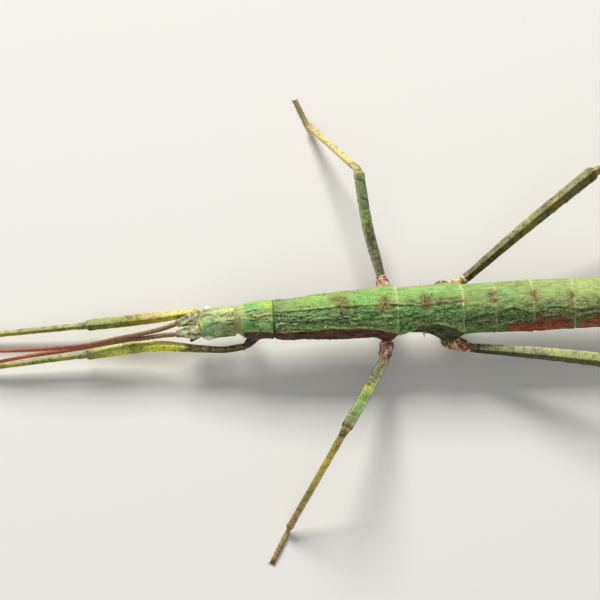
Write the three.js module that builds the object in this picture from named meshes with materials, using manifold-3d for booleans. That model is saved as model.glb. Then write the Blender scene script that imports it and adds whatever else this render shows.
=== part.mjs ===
// A prickly stick insect, a wingless female, standing on a floor.
// Millimetres, +Z up. +X runs along the body from head to tail and +Y is the insect's
// right-hand side. X = 0 is the joint between the middle and the hind thorax.
import * as THREE from 'three';
import { mergeVertices } from 'three/addons/utils/BufferGeometryUtils.js';
import Module from 'manifold-3d';

const wasm = await Module();
wasm.setup();

// ---- Driving sizes ----
const AXIS_HEIGHT = 6.5; // height of the body's axis above the floor
const JOINT_GAP = 0.2; // clear space where two pieces meet
const RIM = 0.12; // how far the end of a body ring is turned in
const RIM_WIDTH = 0.3; // length of that turned-in end
const RIM_FLARE = 0.07; // each ring is a little wider just before its hind end
const TRUNK_SIDES = 22;
const LEG_SIDES = 8;
const FEELER_SIDES = 6;

// Trunk outline at stations along X: half width, height above the axis, depth below it
// and the axis's own Y, for the body's slight bend.
const OUTLINE = [
  [-22.2, 1.75, 1.25, 1.75, 0],
  [-21.7, 2.38, 2.0, 2.15, 0],
  [-20.6, 2.55, 2.3, 2.2, 0],
  [-19.0, 2.68, 2.4, 2.25, 0],
  [-17.4, 2.82, 2.48, 2.4, -0.1],
  [-15.5, 2.94, 2.5, 2.55, -0.24],
  [-13.7, 3.0, 2.62, 2.6, -0.16],
  [-11.0, 3.28, 2.85, 2.7, -0.05],
  [-8.1, 3.46, 3.0, 2.75, 0],
  [-5.4, 3.48, 3.05, 2.75, 0.05],
  [-2.8, 3.55, 3.05, 2.8, 0.1],
  [-1.4, 3.76, 3.05, 2.8, 0.12],
  [0.0, 3.46, 3.0, 2.7, 0.18],
  [1.2, 3.34, 2.95, 2.6, 0.2],
  [3.2, 3.3, 2.95, 2.55, 0.22],
  [4.8, 3.5, 3.0, 2.65, 0.2],
  [6.2, 3.9, 3.0, 2.75, 0.15],
  [7.6, 3.74, 3.05, 2.8, 0.05],
  [9.1, 3.58, 3.05, 2.8, 0],
  [13.6, 3.62, 3.1, 2.85, 0],
  [18.9, 3.68, 3.1, 2.9, 0],
  [24.6, 3.62, 3.0, 2.9, 0],
  [30.6, 3.6, 3.0, 2.85, 0],
  [36.6, 3.5, 2.9, 2.75, 0],
  [42.3, 3.2, 2.65, 2.45, 0],
  [47.4, 2.75, 2.3, 2.0, 0],
  [51.5, 2.35, 1.95, 1.6, 0],
  [54.5, 2.1, 1.7, 1.25, 0],
  [56.6, 1.75, 1.35, 0.95, 0],
  [57.6, 1.25, 0.85, 0.6, 0],
];

// Body rings from the neck to the tail.
const SEGMENTS = [
  { name: 'prothorax', from: -22.2, to: -17.4, color: '#6aa84a' },
  { name: 'mesothorax', from: -17.4, to: 0.0, color: '#55a552' },
  { name: 'metathorax', from: 0.0, to: 9.1, color: '#5aa44c' },
  { name: 'median_segment', from: 9.1, to: 13.6, color: '#63a148' },
  { name: 'abdomen_2', from: 13.6, to: 18.9, color: '#6f9c42' },
  { name: 'abdomen_3', from: 18.9, to: 24.6, color: '#789c41' },
  { name: 'abdomen_4', from: 24.6, to: 30.6, color: '#7d9a40' },
  { name: 'abdomen_5', from: 30.6, to: 36.6, color: '#7d9a40' },
  { name: 'abdomen_6', from: 36.6, to: 42.3, color: '#7b983f' },
  { name: 'abdomen_7', from: 42.3, to: 47.4, color: '#78953e' },
  { name: 'abdomen_8', from: 47.4, to: 51.5, color: '#75923d' },
  { name: 'abdomen_9', from: 51.5, to: 54.5, color: '#72903d' },
  { name: 'abdomen_10', from: 54.5, to: 57.6, color: '#708d3c' },
];

// Swellings low on the sides that carry the middle and hind legs: ring, centre, radii.
const HIP_BOSSES = [
  ['mesothorax', [-1.5, 3.35, 4.95], [1.5, 1.0, 1.25]],
  ['mesothorax', [-1.5, -3.25, 4.9], [1.5, 1.0, 1.25]],
  ['metathorax', [6.9, 3.5, 4.95], [2.3, 1.2, 1.5]],
  ['metathorax', [6.9, -3.5, 4.85], [2.3, 1.2, 1.5]],
];

// Knobs and prickles on the body rings: ring, X, degrees round from the back's midline
// towards the insect's left, height, radius of the foot.
const PRICKLES = [
  ['prothorax', -21.0, 78, 0.5, 0.3],
  ['prothorax', -21.0, -78, 0.5, 0.3],
  ['mesothorax', -15.8, 38, 0.3, 0.3],
  ['mesothorax', -15.8, -38, 0.3, 0.3],
  ['mesothorax', -10.35, 48, 0.6, 0.3],
  ['mesothorax', -10.3, -48, 0.4, 0.3],
  ['mesothorax', -8.4, -22, 0.3, 0.4],
  ['mesothorax', -7.4, -8, 0.35, 0.4],
  ['mesothorax', -2.1, -10, 0.45, 0.35],
  ['mesothorax', -2.4, 8, 0.45, 0.35],
  ['metathorax', 3.6, -10, 0.4, 0.35],
  ['metathorax', 3.8, 6, 0.4, 0.35],
  ['metathorax', 3.45, 104, 0.75, 0.32],
  ['metathorax', 3.5, -80, 0.75, 0.32],
  ['metathorax', 6.3, -76, 0.65, 0.32],
  ['median_segment', 13.0, -12, 0.3, 0.35],
  ['median_segment', 13.1, 4, 0.3, 0.35],
  ['abdomen_2', 18.5, -6, 0.3, 0.35],
  ['abdomen_3', 24.1, 0, 0.3, 0.35],
  ['abdomen_4', 30.1, 0, 0.3, 0.35],
  ['abdomen_5', 36.0, 0, 0.35, 0.35],
  ['abdomen_6', 41.8, 0, 0.35, 0.35],
  ['abdomen_7', 46.9, 0, 0.3, 0.3],
];

// Head, front to back: X, half width, height above and depth below its own axis.
const HEAD = [
  [-28.35, 1.0, 0.75, 0.8],
  [-28.15, 1.5, 1.15, 1.2],
  [-27.4, 1.98, 1.62, 1.6],
  [-26.3, 2.16, 1.9, 1.8],
  [-24.9, 2.18, 2.0, 1.85],
  [-23.6, 2.1, 1.92, 1.75],
  [-22.9, 1.95, 1.72, 1.6],
  [-22.5, 1.65, 1.4, 1.3],
];
const HEAD_FRONT_HEIGHT = 5.6; // the head hangs a little below the body's axis
const HEAD_BACK_HEIGHT = 6.0;
const EYE = new THREE.Vector3(-26.85, 2.02, 6.0);
const EYE_RADIUS = new THREE.Vector3(0.6, 0.55, 0.6);

// Legs. "root" is inside the thorax, "hip" the end of the hip joint. Radii in order.
const FORE = { hip: 0.72, thigh: [0.42, 0.45, 0.66, 0.72, 0.7], shin: [0.42, 0.4, 0.45], foot: 0.36 };
const MIDDLE = { hip: 1.08, thigh: [0.68, 0.8, 0.84, 0.82, 0.8], shin: [0.52, 0.5, 0.48], foot: 0.4 };
const HIND = { hip: 1.05, thigh: [0.58, 0.7, 0.8, 0.86, 0.84], shin: [0.52, 0.5, 0.48], foot: 0.4 };
const HIP_GAP = 0.3; // from the hip joint's end to the start of the thigh
const KNEE_SHARE = 0.8; // the shin starts this share of the knee's radius from its centre
const FOOT_LIFT = 0.6; // height of a foot's centre line, as a share of its radius
const FOOT_TAPER = [1, 0.94, 0.94, 1.15]; // heel to claws
const LEGS = [
  {
    name: 'fore_right', size: FORE, thorax: 'prothorax',
    root: [-19.4, 1.3, 5.0], hip: [-21.7, 2.75, 4.0],
    bend: [[-24.3, 2.55, 3.8], [-28.0, 2.5, 4.25], [-33.4, 2.2, 3.9]],
    knee: [-44.2, 2.17, 2.3], ankle: [-66.2, 1.7, 0.75], toe: [-72.2, 1.6, 0.3],
  },
  {
    name: 'fore_left', size: FORE, thorax: 'prothorax',
    root: [-19.4, -1.3, 5.0], hip: [-21.7, -2.95, 4.0],
    bend: [[-24.3, -3.3, 4.1], [-28.0, -3.1, 4.4], [-33.4, -2.2, 3.9]],
    knee: [-44.25, -2.25, 2.3], ankle: [-66.1, -3.55, 0.75], toe: [-72.1, -4.1, 0.3],
  },
  {
    name: 'middle_right', size: MIDDLE, thorax: 'mesothorax',
    root: [-1.5, 3.4, 4.9], hip: [-1.8, 6.2, 4.7],
    bend: [[-3.3, 12.6, 7.2]],
    knee: [-4.25, 20.9, 9.8], ankle: [-10.6, 33.2, 0.85], toe: [-12.3, 37.8, 0.3],
  },
  {
    name: 'middle_left', size: MIDDLE, thorax: 'mesothorax',
    root: [-1.6, -3.4, 4.85], hip: [-2.3, -6.2, 4.6],
    bend: [[-4.9, -11.6, 8.0]],
    knee: [-8.63, -18.5, 11.5], ankle: [-16.9, -28.8, 0.85], toe: [-19.3, -33.1, 0.3],
  },
  {
    name: 'hind_right', size: HIND, thorax: 'metathorax',
    root: [5.8, 3.6, 4.7], hip: [9.9, 5.2, 4.8],
    bend: [[19.2, 11.5, 8.4]],
    knee: [29.27, 18.14, 11.5], ankle: [47.3, 24.2, 0.85], toe: [52.4, 26.3, 0.3],
  },
  {
    name: 'hind_left', size: HIND, thorax: 'metathorax',
    root: [5.6, -3.7, 4.6], hip: [10.0, -5.15, 4.6],
    bend: [[20.4, -7.6, 6.9]],
    knee: [32.8, -10.9, 9.5], ankle: [51.6, -18.2, 0.85], toe: [56.6, -20.6, 0.3],
  },
];

// Feelers: a broad flattened first piece, then the lash, as points along each.
const SCAPE_RADII = [0.62, 0.64, 0.52, 0.42];
const LASH_RADII = [0.4, 0.38, 0.34, 0.3, 0.27];
const FEELERS = [
  {
    side: 'right',
    scape: [[-27.7, 1.2, 5.7], [-29.5, 0.75, 5.8], [-31.0, 0.3, 5.8]],
    lash: [
      [-31.3, 0.18, 5.78], [-33.0, -0.27, 5.6], [-35.7, -0.81, 5.5], [-39.2, -1.27, 5.3],
      [-43.3, -1.91, 5.1], [-47.6, -2.05, 4.8], [-51.0, -2.0, 4.5], [-54.0, -1.85, 4.2],
      [-57.5, -1.6, 3.8],
    ],
  },
  {
    side: 'left',
    scape: [[-27.7, -1.25, 5.6], [-29.5, -1.22, 5.65], [-31.0, -1.22, 5.58]],
    lash: [
      [-31.3, -1.21, 5.52], [-33.0, -1.18, 5.3], [-35.7, -1.29, 4.9], [-37.9, -1.3, 4.6],
      [-40.5, -1.49, 4.3], [-42.9, -1.72, 4.05], [-48.3, -2.1, 3.4], [-52.6, -2.4, 3.0],
      [-57.4, -2.9, 2.5],
    ],
  },
];

// ---- Helpers ----
const group = new THREE.Group();
group.name = 'stick_insect';

function addNode(name, geometry, color, roughness = 0.55) {
  geometry.computeVertexNormals();
  const material = new THREE.MeshStandardMaterial({ color, roughness, metalness: 0 });
  const mesh = new THREE.Mesh(geometry, material);
  mesh.name = name;
  group.add(mesh);
  return mesh;
}

const at = (xyz) => new THREE.Vector3(...xyz);

/** Bends a capped unit cylinder: one row per entry of rows, each corner put by place(). */
function ringed(rows, sides, place) {
  const last = rows.length - 1;
  const geometry = new THREE.CylinderGeometry(1, 1, 1, sides, last);
  const corners = geometry.attributes.position;
  for (let i = 0; i < corners.count; i += 1) {
    const row = Math.round((corners.getY(i) + 0.5) * last);
    const round = Math.atan2(corners.getX(i), corners.getZ(i));
    const reach = Math.hypot(corners.getX(i), corners.getZ(i));
    const point = place(rows[row], round, reach);
    corners.setXYZ(i, point.x, point.y, point.z);
  }
  geometry.deleteAttribute('normal');
  geometry.deleteAttribute('uv');
  return mergeVertices(geometry, 1e-4);
}

/** A closed shell along X: rows of X, half width, height above, depth below, axis Y and Z. */
function shell(rows, sides, swell = 0) {
  return ringed(rows, sides, ([x, half, above, below, axisY, axisZ], round, reach) => {
    const side = -Math.sin(round) * reach * (half + swell);
    const up = Math.cos(round) * reach;
    return new THREE.Vector3(x, axisY + side, axisZ + up * ((up > 0 ? above : below) + swell));
  });
}

/** Straight-line reading of a table of rows at X. */
function readTable(table, x) {
  const next = table.findIndex((row) => row[0] >= x);
  const b = table[next < 0 ? table.length - 1 : next];
  const a = table[Math.max(next - 1, 0)];
  const share = b[0] === a[0] ? 0 : (x - a[0]) / (b[0] - a[0]);
  return b.map((value, column) => a[column] + (value - a[column]) * share);
}

/** Rows of one body ring: turned-in ends, a slight flare at the back. */
function ringRows({ from, to }) {
  const start = from + JOINT_GAP / 2;
  const end = to - JOINT_GAP / 2;
  const middle = (start + end) / 2;
  const inner = OUTLINE.map(([x]) => x).filter((x) => x > start + 0.8 && x < end - 0.8);
  const stations = [
    [start, -RIM],
    [start + RIM_WIDTH, 0],
    ...(inner.length > 0 ? inner : [middle]).map((x) => [x, 0]),
    [end - RIM_WIDTH, RIM_FLARE],
    [end, -RIM],
  ];
  return stations.map(([x, change]) => {
    const [, half, above, below, axisY] = readTable(OUTLINE, x);
    return [x, half + change, above + change, below + change, axisY, AXIS_HEIGHT];
  });
}

/** Limb along a curve: a row per radius, with rounded ends. flatten < 1 makes it low. */
function limb(points, radii, sides, rows, flatten = 1) {
  const curve = new THREE.CatmullRomCurve3(points.map((point) => point.clone()));
  const length = curve.getLength();
  const reading = (share) => {
    const spot = share * (radii.length - 1);
    const low = Math.min(Math.floor(spot), radii.length - 2);
    return radii[low] + (radii[low + 1] - radii[low]) * (spot - low);
  };
  const lead = radii[0] / length / 2;
  const tail = radii[radii.length - 1] / length / 2;
  const shares = [0, lead];
  for (let i = 1; i < rows; i += 1) {
    shares.push(lead + ((1 - lead - tail) * i) / rows);
  }
  shares.push(1 - tail, 1);
  const list = shares.map((share) => {
    const radius = reading(share) * (share === 0 || share === 1 ? 0.6 : 1);
    return { centre: curve.getPointAt(share), along: curve.getTangentAt(share), radius };
  });
  return ringed(list, sides, ({ centre, along, radius }, round, reach) => {
    const across = new THREE.Vector3().crossVectors(along, new THREE.Vector3(0, 0, 1)).normalize();
    const over = new THREE.Vector3().crossVectors(across, along).normalize();
    return centre.clone()
      .addScaledVector(across, Math.sin(round) * reach * radius)
      .addScaledVector(over, Math.cos(round) * reach * radius * flatten);
  });
}

/** An egg shape. */
function egg(centre, radius, around, down) {
  const geometry = new THREE.SphereGeometry(1, around, down);
  geometry.scale(radius.x, radius.y, radius.z);
  geometry.translate(centre.x, centre.y, centre.z);
  geometry.deleteAttribute('normal');
  geometry.deleteAttribute('uv');
  return mergeVertices(geometry, 1e-4);
}

function toSolid(geometry) {
  const mesh = new wasm.Mesh({
    numProp: 3,
    vertProperties: Float32Array.from(geometry.attributes.position.array),
    triVerts: Uint32Array.from(geometry.index.array),
  });
  return new wasm.Manifold(mesh);
}

function fromSolid(solid) {
  const mesh = solid.getMesh();
  const geometry = new THREE.BufferGeometry();
  geometry.setAttribute('position', new THREE.BufferAttribute(mesh.vertProperties.slice(), 3));
  geometry.setIndex(new THREE.BufferAttribute(mesh.triVerts.slice(), 1));
  return geometry;
}

/** The geometry less every cutter, slivers cleaned away. */
function cutBy(geometry, ...cutters) {
  const solid = cutters.reduce((rest, cutter) => rest.subtract(toSolid(cutter)), toSolid(geometry));
  return fromSolid(solid.simplify(0.01));
}

/** The point that lies a distance from b, on the line towards a. */
function shortOf(a, b, distance) {
  return b.clone().addScaledVector(b.clone().sub(a).normalize(), -distance);
}

// ---- Head, eyes, mouthparts ----
const headAxis = (x) => {
  const share = (x - HEAD[0][0]) / (HEAD[HEAD.length - 1][0] - HEAD[0][0]);
  return HEAD_FRONT_HEIGHT + (HEAD_BACK_HEIGHT - HEAD_FRONT_HEIGHT) * share;
};
const headRows = HEAD.map((row) => [...row, 0, headAxis(row[0])]);
const headShell = (swell) => shell(headRows, 20, swell);
const eyeCentre = (side) => EYE.clone().multiply(new THREE.Vector3(1, side, 1));
const grownEye = EYE_RADIUS.clone().addScalar(JOINT_GAP / 2);

addNode('head', cutBy(
  headShell(0),
  egg(eyeCentre(1), grownEye, 10, 6),
  egg(eyeCentre(-1), grownEye, 10, 6),
), '#7d9a55');
addNode('eye_right', egg(eyeCentre(1), EYE_RADIUS, 10, 6), '#d6d0b0', 0.2);
addNode('eye_left', egg(eyeCentre(-1), EYE_RADIUS, 10, 6), '#d6d0b0', 0.2);

const mouth = (swell) => egg(at([-28.3, 0, 4.45]), at([0.75 + swell, 0.85 + swell, 0.7 + swell]), 8, 6);
addNode('mouthparts', cutBy(mouth(0), headShell(JOINT_GAP)), '#7a5a34');
for (const [side, sign] of [['right', 1], ['left', -1]]) {
  const path = [[-27.9, 0.8, 4.3], [-28.7, 1.4, 4.1], [-29.3, 1.75, 4.1]]
    .map(([x, y, z]) => at([x, y * sign, z]));
  const palp = limb(path, [0.28, 0.28, 0.26], FEELER_SIDES, 2);
  addNode(`palp_${side}`, cutBy(palp, headShell(JOINT_GAP), mouth(JOINT_GAP)), '#7a5a34');
}

// ---- Feelers ----
for (const { side, scape, lash } of FEELERS) {
  const scapeLimb = limb(scape.map(at), SCAPE_RADII, 8, 3, 0.75);
  addNode(`scape_${side}`, cutBy(scapeLimb, headShell(JOINT_GAP)), '#8f9a6c');
  addNode(`flagellum_${side}`, limb(lash.map(at), LASH_RADII, FEELER_SIDES, 14), '#8a6448');
}

// ---- Trunk ----
const rowsOf = Object.fromEntries(SEGMENTS.map((segment) => [segment.name, ringRows(segment)]));

function prickle([name, x, degrees, height, foot]) {
  const round = THREE.MathUtils.degToRad(degrees);
  const [, half, above, below, axisY, axisZ] = readTable(rowsOf[name], x);
  const rise = Math.cos(round) > 0 ? above : below;
  const side = axisY - Math.sin(round) * half;
  const skin = new THREE.Vector3(x, side, axisZ + Math.cos(round) * rise);
  const out = new THREE.Vector3(0, -Math.sin(round) / half, Math.cos(round) / rise).normalize();
  const cone = new THREE.ConeGeometry(foot, height + foot, 5);
  cone.translate(0, (height - foot) / 2, 0);
  cone.applyQuaternion(new THREE.Quaternion().setFromUnitVectors(new THREE.Vector3(0, 1, 0), out));
  cone.translate(skin.x, skin.y, skin.z);
  cone.deleteAttribute('normal');
  cone.deleteAttribute('uv');
  return mergeVertices(cone, 1e-4);
}

/** The hip bosses of a ring, grown by swell all round. */
function bosses(name, swell) {
  return HIP_BOSSES.filter(([ring]) => ring === name)
    .map(([, centre, radii]) => egg(at(centre), at(radii).addScalar(swell), 8, 6));
}

for (const { name, color } of SEGMENTS) {
  const body = shell(rowsOf[name], TRUNK_SIDES);
  const knobs = PRICKLES.filter(([ring]) => ring === name).map(prickle);
  const whole = [...bosses(name, 0), ...knobs]
    .reduce((sum, extra) => sum.add(toSolid(extra)), toSolid(body));
  addNode(name, fromSolid(whole.simplify(0.012)), color);
}

// The keeled plate under the tail, and the two small feelers beside it.
const tailShell = (swell) => SEGMENTS.slice(-3).map(({ name }) => shell(rowsOf[name], TRUNK_SIDES, swell));
const PLATE = [
  [48.2, 1.2, 0.9, 0.9, 0, 5.1],
  [49.2, 1.75, 1.1, 1.15, 0, 5.15],
  [51.5, 1.8, 1.1, 1.1, 0, 5.25],
  [54.0, 1.5, 0.95, 0.9, 0, 5.45],
  [56.4, 1.0, 0.7, 0.6, 0, 5.6],
  [57.9, 0.45, 0.4, 0.35, 0, 5.7],
];
addNode('operculum', cutBy(shell(PLATE, 14), ...tailShell(JOINT_GAP)), '#6c8a3a');
for (const [side, sign] of [['right', 1], ['left', -1]]) {
  const path = [[57.0, 0.75, 6.5], [58.2, 0.95, 6.55], [59.2, 1.0, 6.7]]
    .map(([x, y, z]) => at([x, y * sign, z]));
  const cercus = limb(path, [0.36, 0.36, 0.27], FEELER_SIDES, 2);
  addNode(`cercus_${side}`, cutBy(cercus, ...tailShell(JOINT_GAP)), '#7d9a40');
}

// ---- Legs ----
for (const { name, size, thorax, root, hip, bend, knee, ankle, toe } of LEGS) {
  const hipEnd = at(hip);
  const kneePoint = at(knee);
  const anklePoint = at(ankle);
  const hipRadii = [size.hip, size.hip, size.hip * 0.8];
  const coxa = limb([at(root), at(root).lerp(hipEnd, 0.5), hipEnd], hipRadii, LEG_SIDES, 3);
  const thoraxShell = shell(rowsOf[thorax], TRUNK_SIDES, JOINT_GAP);
  addNode(`coxa_${name}`, cutBy(coxa, thoraxShell, ...bosses(thorax, JOINT_GAP)), '#9a6234');

  const thighStart = shortOf(at(bend[0]), hipEnd, HIP_GAP);
  const thigh = [thighStart, ...bend.map(at), kneePoint];
  addNode(`femur_${name}`, limb(thigh, size.thigh, LEG_SIDES, 8), '#5c7040');

  const kneeRadius = size.thigh[size.thigh.length - 1];
  const shinStart = shortOf(anklePoint, kneePoint, KNEE_SHARE * kneeRadius + JOINT_GAP);
  const shin = [shinStart, shinStart.clone().lerp(anklePoint, 0.5), anklePoint];
  addNode(`tibia_${name}`, limb(shin, size.shin, LEG_SIDES, 5), '#7d8a4a');

  // The foot lies along the floor, with its underside cut flat at floor level.
  const toePoint = at(toe);
  const step = toePoint.clone().sub(anklePoint).setZ(0).normalize();
  const lift = FOOT_LIFT * size.foot;
  const heel = anklePoint.clone().addScaledVector(step, size.shin[2] + JOINT_GAP).setZ(lift);
  const foot = [heel, heel.clone().lerp(toePoint, 0.5), toePoint.setZ(lift)];
  const radii = FOOT_TAPER.map((share) => share * size.foot);
  const sole = limb(foot, radii, LEG_SIDES, 6);
  const corners = sole.attributes.position;
  for (let i = 0; i < corners.count; i += 1) {
    corners.setZ(i, Math.max(corners.getZ(i), 0));
  }
  addNode(`tarsus_${name}`, sole, '#8a8550');
}

// ---- Stand it on the floor, centred ----
const box = new THREE.Box3().setFromObject(group);
const middle = box.getCenter(new THREE.Vector3());
group.children.forEach((mesh) => mesh.geometry.translate(-middle.x, -middle.y, -box.min.z));

export default group;
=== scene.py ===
# %% [markdown]
# # A prickly stick insect in Blender
#
# The solids made in CAD give this insect its size, its pose and its six flat feet. They
# come in as a fixed frame and stay hidden under the skins that are made here: one skin for
# the body rings, one for the head, and one for each piece of a leg or a feeler. Every length
# is in millimetres until a piece is finished, because a stick insect is a small thing to
# measure in metres, and X = 0 is the joint between the middle and the hind thorax.

import math

import bmesh
import bpy
import numpy as np
from mathutils import Matrix, Vector, noise


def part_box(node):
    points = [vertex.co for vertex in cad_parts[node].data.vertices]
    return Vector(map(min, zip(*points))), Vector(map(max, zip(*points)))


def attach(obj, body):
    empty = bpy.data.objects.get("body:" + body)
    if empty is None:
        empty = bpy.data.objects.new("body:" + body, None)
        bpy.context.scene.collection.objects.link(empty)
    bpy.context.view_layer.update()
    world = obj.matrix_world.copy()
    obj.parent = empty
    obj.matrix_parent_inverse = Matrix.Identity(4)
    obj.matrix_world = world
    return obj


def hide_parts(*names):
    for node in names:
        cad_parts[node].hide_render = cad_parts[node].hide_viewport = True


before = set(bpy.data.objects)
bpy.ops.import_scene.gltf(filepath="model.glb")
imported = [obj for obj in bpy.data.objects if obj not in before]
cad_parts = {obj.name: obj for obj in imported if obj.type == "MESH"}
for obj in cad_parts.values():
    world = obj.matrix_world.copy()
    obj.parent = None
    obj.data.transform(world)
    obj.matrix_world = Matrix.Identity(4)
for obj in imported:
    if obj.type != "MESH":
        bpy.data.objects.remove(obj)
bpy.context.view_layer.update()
MM = 0.001
middle_low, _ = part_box("mesothorax")
waist_low, waist_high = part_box("abdomen_5")
MIDDLE_THORAX_FRONT = -17.3  # where the solid of the middle thorax starts, from X = 0
BODY_Y = (waist_low.y + waist_high.y) / 2
HOME = Vector((middle_low.x / MM - MIDDLE_THORAX_FRONT, BODY_Y / MM, 0))
TO_METRES = Matrix.Scale(MM, 4) @ Matrix.Translation(HOME)
print(len(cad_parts), "solids in the frame")
print("the body's own zero is at", tuple(round(value, 3) for value in HOME))

# %% [markdown]
# ## Camera and light
#
# A museum model is looked at from above and a little from its left side, with its head to
# the left. The camera could be aimed with a Track To constraint. Here it is placed by its
# distance, its turn and its height angle instead, and its three axes are written straight
# into its matrix, which leaves no doubt about roll. One soft lamp stands on the insect's right
# and a larger, weak one on its left, so the roof shape of the back shows. A long lens keeps
# the legs from looking stretched.

# %% Camera
HEIGHT_ANGLE = math.radians(67)
TURN_ANGLE = math.radians(-3.2)
CAMERA_DISTANCE = 260
LENS = 111.43
NEAREST = 0.01  # in metres, because the camera stands only 26 cm away
LOOK_AT = Vector((-13.61, 2.34, 7.17))


def aim_camera():
    """Makes the camera; back points from the insect to it."""
    back = Vector((
        math.sin(TURN_ANGLE) * math.cos(HEIGHT_ANGLE),
        -math.cos(TURN_ANGLE) * math.cos(HEIGHT_ANGLE),
        math.sin(HEIGHT_ANGLE),
    ))
    right = Vector((math.cos(TURN_ANGLE), math.sin(TURN_ANGLE), 0))
    up = back.cross(right)
    camera = bpy.data.objects.new("camera", bpy.data.cameras.new("camera"))
    camera.data.lens = LENS
    camera.data.clip_start = NEAREST
    place = Matrix((right, up, back)).transposed().to_4x4()
    place.translation = (LOOK_AT + back * CAMERA_DISTANCE + HOME) * MM
    camera.matrix_world = place
    bpy.context.scene.collection.objects.link(camera)
    bpy.context.scene.camera = camera
    return camera


camera = aim_camera()
print("camera at", [round(value, 4) for value in camera.location])

# %% Lamps and background
SKY_COLOUR, SKY_STRENGTH = (0.96, 0.98, 1, 1), 0.24


def add_lamp(name, place, size, power, tint):
    """A square lamp that faces the body's own zero; place and size are in metres."""
    lamp = bpy.data.lights.new(name, "AREA")
    lamp.size = size
    lamp.energy = power
    lamp.color = tint
    holder = bpy.data.objects.new(name, lamp)
    holder.location = Vector(place) + HOME * MM
    holder.rotation_euler = Vector(place).to_track_quat("Z", "Y").to_euler()
    bpy.context.scene.collection.objects.link(holder)


add_lamp("key_lamp", (-0.1, 0.62, 0.52), 0.32, 6.6, (1, 0.975, 0.93))
add_lamp("fill_lamp", (-0.15, -0.6, 0.75), 0.7, 1.7, (0.95, 0.98, 1))
world = bpy.data.worlds.new("studio")
world.use_nodes = True
sky = world.node_tree.nodes["Background"]
sky.inputs["Color"].default_value = SKY_COLOUR
sky.inputs["Strength"].default_value = SKY_STRENGTH
bpy.context.scene.world = world
bpy.context.scene.view_settings.view_transform = "Standard"

# %% [markdown]
# ## Tools for making skins
#
# Nearly every piece of an insect is a closed tube that tapers, bulges and bends. The quick
# way is a cylinder with a modifier, but its caps pinch and its rings can't follow a table of
# widths. So a flat grid is rolled up instead: each corner of the grid knows its share of the
# length and its turn round the tube, and both drive its final place. Welding the corners that
# meet closes the seam and the two ends. Turns are in degrees, 0 on top and positive towards
# the insect's left.

# %% Reading tables smoothly


def smooth_read(places, values, at):
    """A smooth curve through a table, read at every place asked for."""
    places, values = np.asarray(places, float), np.asarray(values, float)
    slope = np.gradient(values, places)
    low = np.clip(np.searchsorted(places, at) - 1, 0, len(places) - 2)
    span = places[low + 1] - places[low]
    t = np.clip((at - places[low]) / span, 0, 1)
    return (
        (2 * t**3 - 3 * t**2 + 1) * values[low]
        + (t**3 - 2 * t**2 + t) * span * slope[low]
        + (3 * t**2 - 2 * t**3) * values[low + 1]
        + (t**3 - t**2) * span * slope[low + 1]
    )


def read_table(table, at):
    """Every column of a table but its first, read smoothly at places in the first."""
    return [smooth_read(table[:, 0], column, at) for column in table.T[1:]]


def hill(value, centre, width):
    """A rounded bump of height 1."""
    return np.exp(-(((value - centre) / width) ** 2))


def step(value, low, high):
    """A soft step from 0 to 1."""
    t = np.clip((value - low) / (high - low), 0, 1)
    return t * t * (3 - 2 * t)


def grain(points, scale, shift=0.0):
    """Natural unevenness from -1 to 1; scale is per axis, in waves per mm."""
    return np.array([noise.noise(Vector(p)) for p in points * np.asarray(scale) + shift])


def pebbles(points, size, shift=0.0):
    """Rounded pebbles packed side by side, 1 at each top."""
    near = np.array([noise.voronoi(Vector(p))[0][0] for p in points / size + shift])
    return np.clip(1 - near * 1.5, 0, 1)


print("halfway from 1 to 3 the smooth table says", float(smooth_read([0, 1], [1, 3], 0.5)))

# %% Rolling and welding tubes
WELD_DISTANCE = 1e-4


def roll(rows, around):
    """A grid as a bmesh, with each corner's share of the length and its turn in degrees."""
    bm = bmesh.new()
    bmesh.ops.create_grid(bm, x_segments=around, y_segments=rows, size=0.5)
    flat = np.array([v.co[:] for v in bm.verts])
    return bm, flat[:, 1] + 0.5, flat[:, 0] * 360


def settle(bm, points):
    """Moves every corner to its final place and welds the seam and the ends."""
    for v, point in zip(bm.verts, points):
        v.co = point
    bmesh.ops.remove_doubles(bm, verts=bm.verts, dist=WELD_DISTANCE)
    return bm


def mark(bm, **marks):
    """Stores one number per corner under a name that a material can read."""
    for name, values in marks.items():
        layer = bm.verts.layers.float.new(name)
        for v, value in zip(bm.verts, np.broadcast_to(values, len(bm.verts))):
            v[layer] = float(value)


def mark_colour(bm, name, colours):
    """Stores one colour per corner."""
    layer = bm.verts.layers.float_color.new(name)
    for v, colour in zip(bm.verts, colours):
        v[layer] = (*colour, 1)


sheet, _, sheet_turn = roll(4, 12)
print(len(sheet.verts), "corners turn from", sheet_turn.min(), "to", sheet_turn.max())
sheet.free()

# %% Bending a rolled sheet into a limb
CURVE_STEPS = 500


def follow(points, share):
    """Centres and directions along a smooth curve, and the curve's length."""
    points = np.array(points, float)
    chord = np.append(0, np.cumsum(np.linalg.norm(np.diff(points, axis=0), axis=1)))
    fine = np.linspace(0, chord[-1], CURVE_STEPS)
    line = np.stack([smooth_read(chord, points[:, k], fine) for k in range(3)], 1)
    length = np.append(0, np.cumsum(np.linalg.norm(np.diff(line, axis=0), axis=1)))
    way = np.gradient(line, axis=0)
    spot = share * length[-1]
    centre = np.stack([np.interp(spot, length, line[:, k]) for k in range(3)], 1)
    along = np.stack([np.interp(spot, length, way[:, k]) for k in range(3)], 1)
    return centre, along / np.linalg.norm(along, axis=1)[:, None], length[-1]


def lift_frame(along):
    """The direction that is most nearly up, and the one to its side."""
    up = np.array([0, 0, 1.0])
    over = up - along * (along @ up)[:, None]
    over /= np.linalg.norm(over, axis=1)[:, None]
    return over, np.cross(over, along)


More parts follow.
